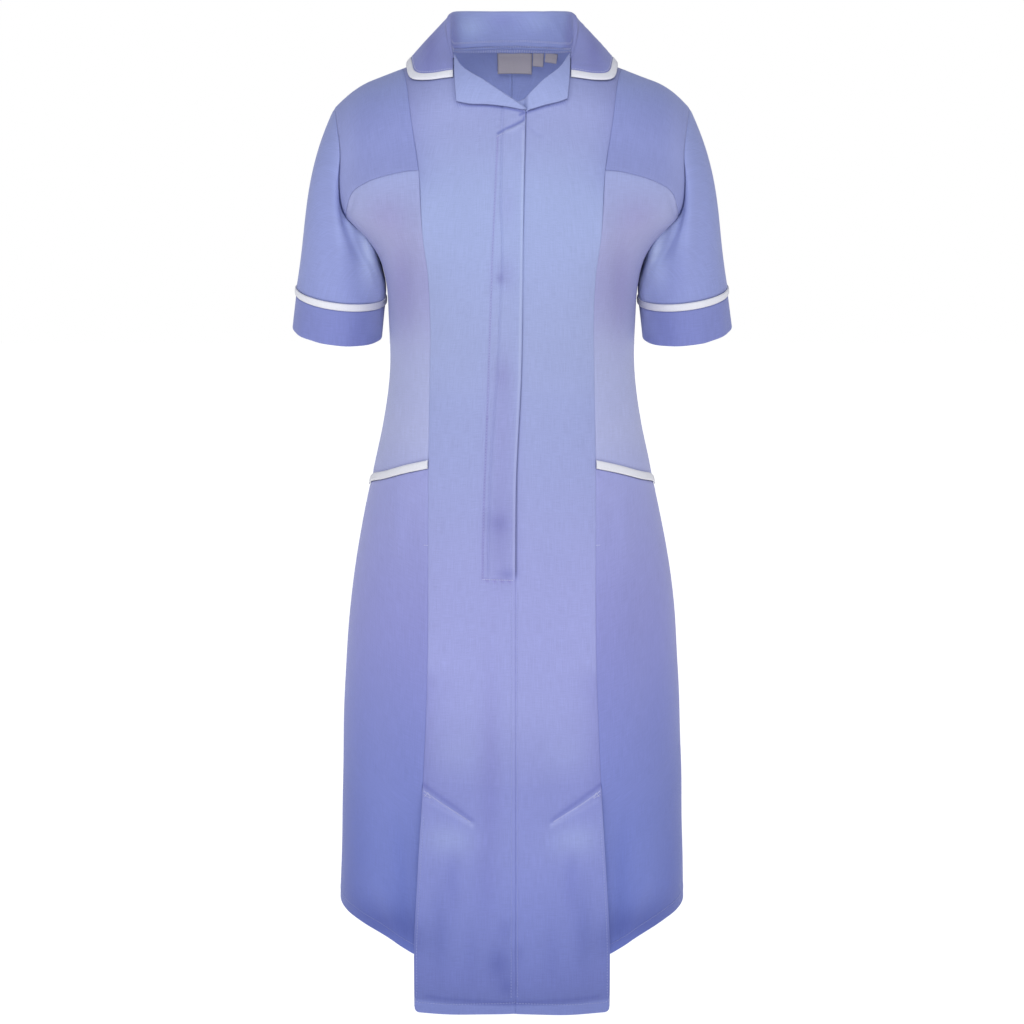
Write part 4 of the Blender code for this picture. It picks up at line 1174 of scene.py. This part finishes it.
def collar_lines(along):
    rows = np.array(COLLAR)
    line = {name: monotone(rows[:, 0], rows[:, i])(np.abs(along)) for i, name in enumerate(COLLAR_COLUMNS)}
    turn = np.where(along < 0, -1.0, 1.0)
    roll = np.stack([line["roll_x"] * turn, line["roll_y"], line["roll_z"]], axis=-1)
    edge_z = surface_height(line["edge_x"], line["edge_y"]) + COLLAR_CLEAR
    edge = np.stack([line["edge_x"] * turn, line["edge_y"], edge_z], axis=-1)
    side_neck = (float(shoulder_rise(SIDE_NECK)), SIDE_NECK)
    back_seam = seam((*BACK_NECKLINE, side_neck), back=True)
    front_seam = seam((side_neck, NECKLINES["left"][-1]))
    reach = np.clip(np.abs(along) / 0.65, 0, 1), np.clip((np.abs(along) - 0.65) / 0.35, 0, 1)
    behind = (np.abs(along) < 0.65)[:, None]
    neck = np.where(behind, surface(*back_seam(reach[0])), surface(*front_seam(reach[1])))
    around, rise = back_seam(reach[0])
    drop = ALLOWANCE * smooth((0.66 - np.abs(along)) / 0.1)
    low = surface(around, rise - drop) - outward(around, rise - drop) * 0.0024
    low = np.where(behind, low, neck)
    for line_ in (neck, low):
        line_[:, 0] *= turn
    neck[:, 2] += 0.001
    return roll, edge, neck, low


def collar():
    along = np.linspace(-1, 1, 181)
    roll, edge, neck, low = collar_lines(along)
    away = (edge - roll) * (1, 1, 0)
    away /= np.linalg.norm(away, axis=1, keepdims=True)
    up = np.array([0, 0, 1.0])
    inner = roll - away * COLLAR_ROLL
    neck = neck + (inner - neck) * 0.04
    stand = [low + (neck - low) * share for share in np.linspace(0, 0.9, 7)]
    stand += [neck + (inner - neck) * share for share in np.linspace(0, 0.94, 12)]
    turned_rows = [
        roll + COLLAR_ROLL * (away * -math.cos(a) + up * (math.sin(a) - 1))
        for a in np.radians([15, 45, 75, 105, 135, 165])
    ]
    start = roll + away * COLLAR_ROLL - up * 0.0025
    reach = np.linalg.norm(edge - start, axis=1, keepdims=True)
    bow = np.cross(edge - start, np.cross(up, away))
    bow *= COLLAR_BOW / np.linalg.norm(bow, axis=1, keepdims=True)

    def fall(share):
        return start + (edge - start) * share + bow * 4 * share * (1 - share)

    stop = 1 - TRIM_WIDTH / reach
    rows = [*stand, *turned_rows, *[fall(stop * share) for share in np.linspace(0, 1, 18)]]
    points = np.array(rows)
    far = ways(points)
    offset = 0.0006 * uneven(far["inner"] + 0.3 * far["bottom"], 0.034, 0.8) * smooth(far["top"] / 0.01)
    rolled = np.exp(-(((points[..., 2] - roll[:, 2]) / 0.008) ** 2))
    offset *= smooth(far["bottom"] / 0.01) * (1 - 0.8 * rolled)
    offset += 0.0011 * smooth((far["bottom"] - 0.014) / 0.016)
    points = points + facing(points) * offset[..., None]
    rests_on = ["cloth_back_right", "cloth_back_left"]
    sheet("collar_cloth", "collar", points, 1, "folded", rests_on, wall=FACED_WALL)
    width = np.linspace(0, 1, 9)
    crown = 0.0009 + 0.001 * np.sqrt(np.clip(1 - (2 * width - 1) ** 4, 0, 1))
    bound = np.array([fall(1 - TRIM_WIDTH / reach * (1 - w)) for w in width])
    bound = bound + facing(bound) * crown[:, None, None]
    bound = turned(bound, "top", 0.006, 0.0007)
    sheet("binding_collar", "collar_trim", bound, 1, "folded", ["collar_cloth"], TRIM, TRIM_WALL)


def ring(name, turn, share=0.0, then=None):
    values = np.array(RINGS[name])
    if then:
        values = values + (np.array(RINGS[then]) - values) * share
    x, y, z, wide, deep, outer_rise, front_drop = values
    return np.stack(
        [
            x + wide * np.cos(turn),
            y - deep * np.sin(turn),
            z + outer_rise * np.cos(turn) - front_drop * np.sin(turn),
        ],
        axis=-1,
    )


# Folds of a sleeve, by share of the way round (0 outer, 0.25 front, 0.5 at the body) and down
SLEEVE_FOLDS = (
    (0.4, 0.45, 0.36, 0.98, 0.026, 0.0008),
    (0.35, 0.35, 0.31, 0.95, 0.028, -0.0008),
    (0.27, 0.3, 0.24, 0.95, 0.03, 0.0014),
    (0.18, 0.25, 0.2, 0.8, 0.04, -0.0016),
    (0.09, 0.1, 0.07, 0.7, 0.05, 0.0016),
    (0.62, 0.2, 0.7, 0.95, 0.035, 0.0026),
    (0.75, 0.1, 0.8, 0.9, 0.04, -0.0022),
    (0.88, 0.2, 0.9, 0.8, 0.04, 0.0014),
)


def sleeves():
    share = np.linspace(0, 1, 113)
    turn = 2 * math.pi * share
    front, back = seam(armhole(ARMHOLE_FRONT)), seam(armhole(ARMHOLE_BACK), back=True)
    hole = np.where(
        (share <= 0.5)[:, None],
        surface(*front(np.clip(share * 2, 0, 1))),
        surface(*back(np.clip(2 - share * 2, 0, 1))),
    )
    end = ring("seam", turn)
    chord = end - hole
    reach = np.linalg.norm(chord, axis=1, keepdims=True)
    radial = np.stack([np.cos(turn), -np.sin(turn), 0 * turn], axis=-1)
    leave = chord + radial * (CAP_BULGE * (1 + np.cos(turn)) / 2)[:, None]
    leave[:, 0] += SEAM_LEAVE * np.abs(np.sin(turn))
    lean = np.array(ARM_LEAN) * reach
    steps = marks(64, (0.0,), 0.04, 2.0)
    rows = []
    for t in steps:
        blend = (2 * t**3 - 3 * t**2 + 1, t**3 - 2 * t**2 + t, -2 * t**3 + 3 * t**2, t**3 - t**2)
        rows.append(blend[0] * hole + blend[1] * leave + blend[2] * end + blend[3] * lean)
    smooth_rows = np.array(rows)
    for name, side in SIDES.items():
        points = smooth_rows[::-1, ::-1].copy()
        normal = facing(points)
        around, down = np.meshgrid(share[::-1], steps[::-1])
        fold = ridges(around + 0.008 * side, down, SLEEVE_FOLDS)
        top = ways(points)["top"]
        fold -= 0.0006 * np.exp(-((top / 0.0022) ** 2))
        puckers = uneven(ways(points)["inner"], 0.012, side)
        fold += 0.0003 * puckers * np.exp(-top / 0.007) * smooth(top / 0.002)
        points = points + normal * fold[..., None]
        points[:, -1] = points[:, 0]
        rests_on = [f"cloth_yoke_{name}", f"cloth_back_{name}"]
        sheet(f"cloth_sleeve_{name}", f"sleeve_{name}", points, side, "draped", rests_on, closed=True)
        w = np.linspace(0, 1, 9)
        bound = np.array([ring("seam", turn, (1 - k) * CUFF_TRIM_SHARE, "trim") for k in w])
        crown = 0.0008 + 0.001 * np.sqrt(np.clip(1 - (2 * w - 1) ** 4, 0, 1))
        bound = (bound + radial * crown[:, None, None])[:, ::-1]
        bound[:, -1] = bound[:, 0]
        rests_on = [f"cloth_cuff_{name}"]
        trim = f"binding_cuff_{name}"
        sheet(trim, f"cuff_trim_{name}", bound, side, "folded", rests_on, TRIM, CUFF_TRIM_WALL, closed=True)
        v = marks(16, (0.0,), 0.1, 1.0)
        start, hem = ring("seam", turn, CUFF_TRIM_SHARE, "trim"), ring("hem", turn)
        hem[:, 2] -= 0.01 * (np.clip(np.sin(turn), 0, 1) ** 0.5 - np.clip(np.sin(turn), 0, 1))
        cuff = np.array([start + (hem - start) * (1 - k) for k in v])
        ripple = 0.0006 * np.sin(5 * turn + 0.6 * side)[None, :] + 0.0005 * np.sin(11 * turn)[None, :]
        cuff = cuff + radial[None] * (ripple * (1 - v)[:, None])[..., None]
        cuff = turned(cuff[:, ::-1], "bottom", 0.024, 0.0012)
        cuff[:, -1] = cuff[:, 0]
        rests_on = [f"cloth_sleeve_{name}"]
        sheet(f"cloth_cuff_{name}", f"cuff_{name}", cuff, side, "folded", rests_on, closed=True)


def labels():
    for name, (low_half, high_half, low, high) in LABELS.items():
        across, along = np.meshgrid(np.linspace(low_half, high_half, 17), np.linspace(low, high, 21))
        around = around_at(across, along, back=True)
        curl = 0.0011 * smooth((high - along) / 0.006) + 0.0026 * smooth((high - along) / (high - low)) ** 2
        points = surface(around, along) - outward(around, along) * (0.0018 + curl)[..., None]
        sheet(name + "_cloth", name, points, 1, "hung", ["collar_cloth"], LABEL, LABEL_WALL)


# The stitched line beside the fly, by place across and height
FLY_LINE = (
    (-0.0159, -0.087), (-0.018, -0.135), (-0.0201, -0.197), (-0.0223, -0.26), (-0.0247, -0.326),
    (-0.0271, -0.393), (-0.0283, -0.423), (-0.0307, -0.484), (-0.0315, -0.544), (-0.0323, -0.567),
)
# Bar tacks at the fly's two ends, then those at the pleats and pockets, alike on both sides
FLY_TACKS = (((-0.0323, -0.568), (0.003, -0.5685)), ((-0.009, -0.0868), (-0.017, -0.0905)))
TACKS = (
    ((0.0982, -0.81), (0.044, -0.8425)),
    ((0.0985, -0.814), (0.0905, -0.8175), (0.094, -0.811), (0.0985, -0.8185)),
    ((0.097, -0.5335), (0.091, -0.5335)),
)


def stitching():
    """The rows of stitches, as threads on the cloth."""
    right, left = ["cloth_front_right"], ["cloth_front_left"]
    lines = [
        cast(right, FLY_LINE),
        cast(right, [(-0.0006, -0.58), (-0.001, -1.034)]),
        cast(left, [(0.006, -0.58), (0.006, -1.034)]),
    ]
    for name in SIDES:
        for panel in ("front", "side_skirt", "back"):
            lines.append(follow(f"cloth_{panel}_{name}", "bottom", HEM_STITCH))
        lines.append(follow(f"cloth_front_{name}", "outer", 0.0035, 0.0, 0.235))
    fly = thread("stitches_body", lines, THREAD)
    tacks = [cast(right, line) for line in FLY_TACKS]
    for name, side in SIDES.items():
        panels = [f"cloth_front_{name}", f"cloth_side_skirt_{name}"]
        for line in TACKS:
            tacks.append(cast(panels, [(x * side, z) for x, z in line]))
    tack = thread("stitches_bar_tacks", tacks, PALE_THREAD, 0.0014, 0.0004, 0.00034)
    seams = [follow("collar_cloth", "top", 0.0018)]
    seams += [follow("collar_cloth", "bottom", far, 0.18, 0.82) for far in (0.0146, 0.0158)]
    edge = thread("stitches_collar", seams, PALE_THREAD, 0.002, 0.0008, 0.00026)
    low, up = follow("collar_cloth", "bottom", 0.0004, 0.18, 0.82, 0.0004)
    high, _ = follow("collar_cloth", "bottom", 0.0102, 0.18, 0.82, 0.0004)
    zigzag = [(np.array([low[k], high[k + 1], low[k + 2]]), up[k : k + 3]) for k in range(0, len(low) - 2, 2)]
    lock = thread("stitches_overlock", zigzag, PALE_THREAD, 0.005, 0.0002, 0.0004)
    return {"body": fly, "tacks": tack, "collar": edge, "lock": lock}


def studio():
    """Soft light from boxes in front of the dress, a white background and a pale floor."""
    scene = bpy.context.scene
    world = bpy.data.worlds.new("studio")
    scene.world = world
    world.use_nodes = True
    tree = world.node_tree
    backdrop = tree.nodes["Background"]
    backdrop.inputs["Color"].default_value = (1, 1, 1, 1)
    backdrop.inputs["Strength"].default_value = 1.0
    ambient = add(tree, "ShaderNodeBackground", {"Color": (0.93, 0.95, 1.0, 1), "Strength": AMBIENT})
    seen = add(tree, "ShaderNodeLightPath").outputs["Is Camera Ray"]
    mixed = add(tree, "ShaderNodeMixShader", {0: seen, 1: ambient.outputs[0], 2: backdrop.outputs[0]})
    tree.links.new(mixed.outputs[0], tree.nodes["World Output"].inputs["Surface"])
    floor = bpy.data.meshes.new("floor")
    corners = ((-1, -1), (1, -1), (1, 1), (-1, 1))
    floor.from_pydata([(x * FLOOR_HALF, y * FLOOR_HALF, FLOOR_Z) for x, y in corners], [], [(0, 1, 2, 3)])
    made, _, shader = nodes_of("floor")
    shader.inputs["Base Color"].default_value = (0.6, 0.6, 0.6, 1)
    shader.inputs["Roughness"].default_value = 0.9
    shader.inputs["Emission Color"].default_value = (1, 1, 1, 1)
    shader.inputs["Emission Strength"].default_value = 0.85
    floor.materials.append(made)
    ground = bpy.data.objects.new("floor", floor)
    scene.collection.objects.link(ground)
    for name, place, target, size, power in LIGHTS:
        data = bpy.data.lights.new(name, "AREA")
        data.size = size
        data.energy = power
        data.color = (0.86, 0.9, 1.0)
        light = bpy.data.objects.new(name, data)
        light.location = place
        light.rotation_euler = (Vector(target) - Vector(place)).to_track_quat("-Z", "Y").to_euler()
        light.visible_camera = False
        scene.collection.objects.link(light)
    camera = bpy.data.cameras.new("camera")
    camera.sensor_width = 36
    camera.lens = CAMERA_LENS
    eye = bpy.data.objects.new("camera", camera)
    eye.location = CAMERA_PLACE
    eye.rotation_euler = (Vector(CAMERA_TARGET) - eye.location).to_track_quat("-Z", "Y").to_euler()
    scene.collection.objects.link(eye)
    scene.camera = eye
    scene.view_settings.view_transform = "Standard"
    scene.view_settings.look = "None"


yoke_panels()
front_panels()
placket()
side_front_panels()
side_skirt_panels()
pleat_return_panels()
back_panels()
lapel_panels()
collar()
sleeves()
pocket_bindings()
labels()
threads = stitching()
studio()
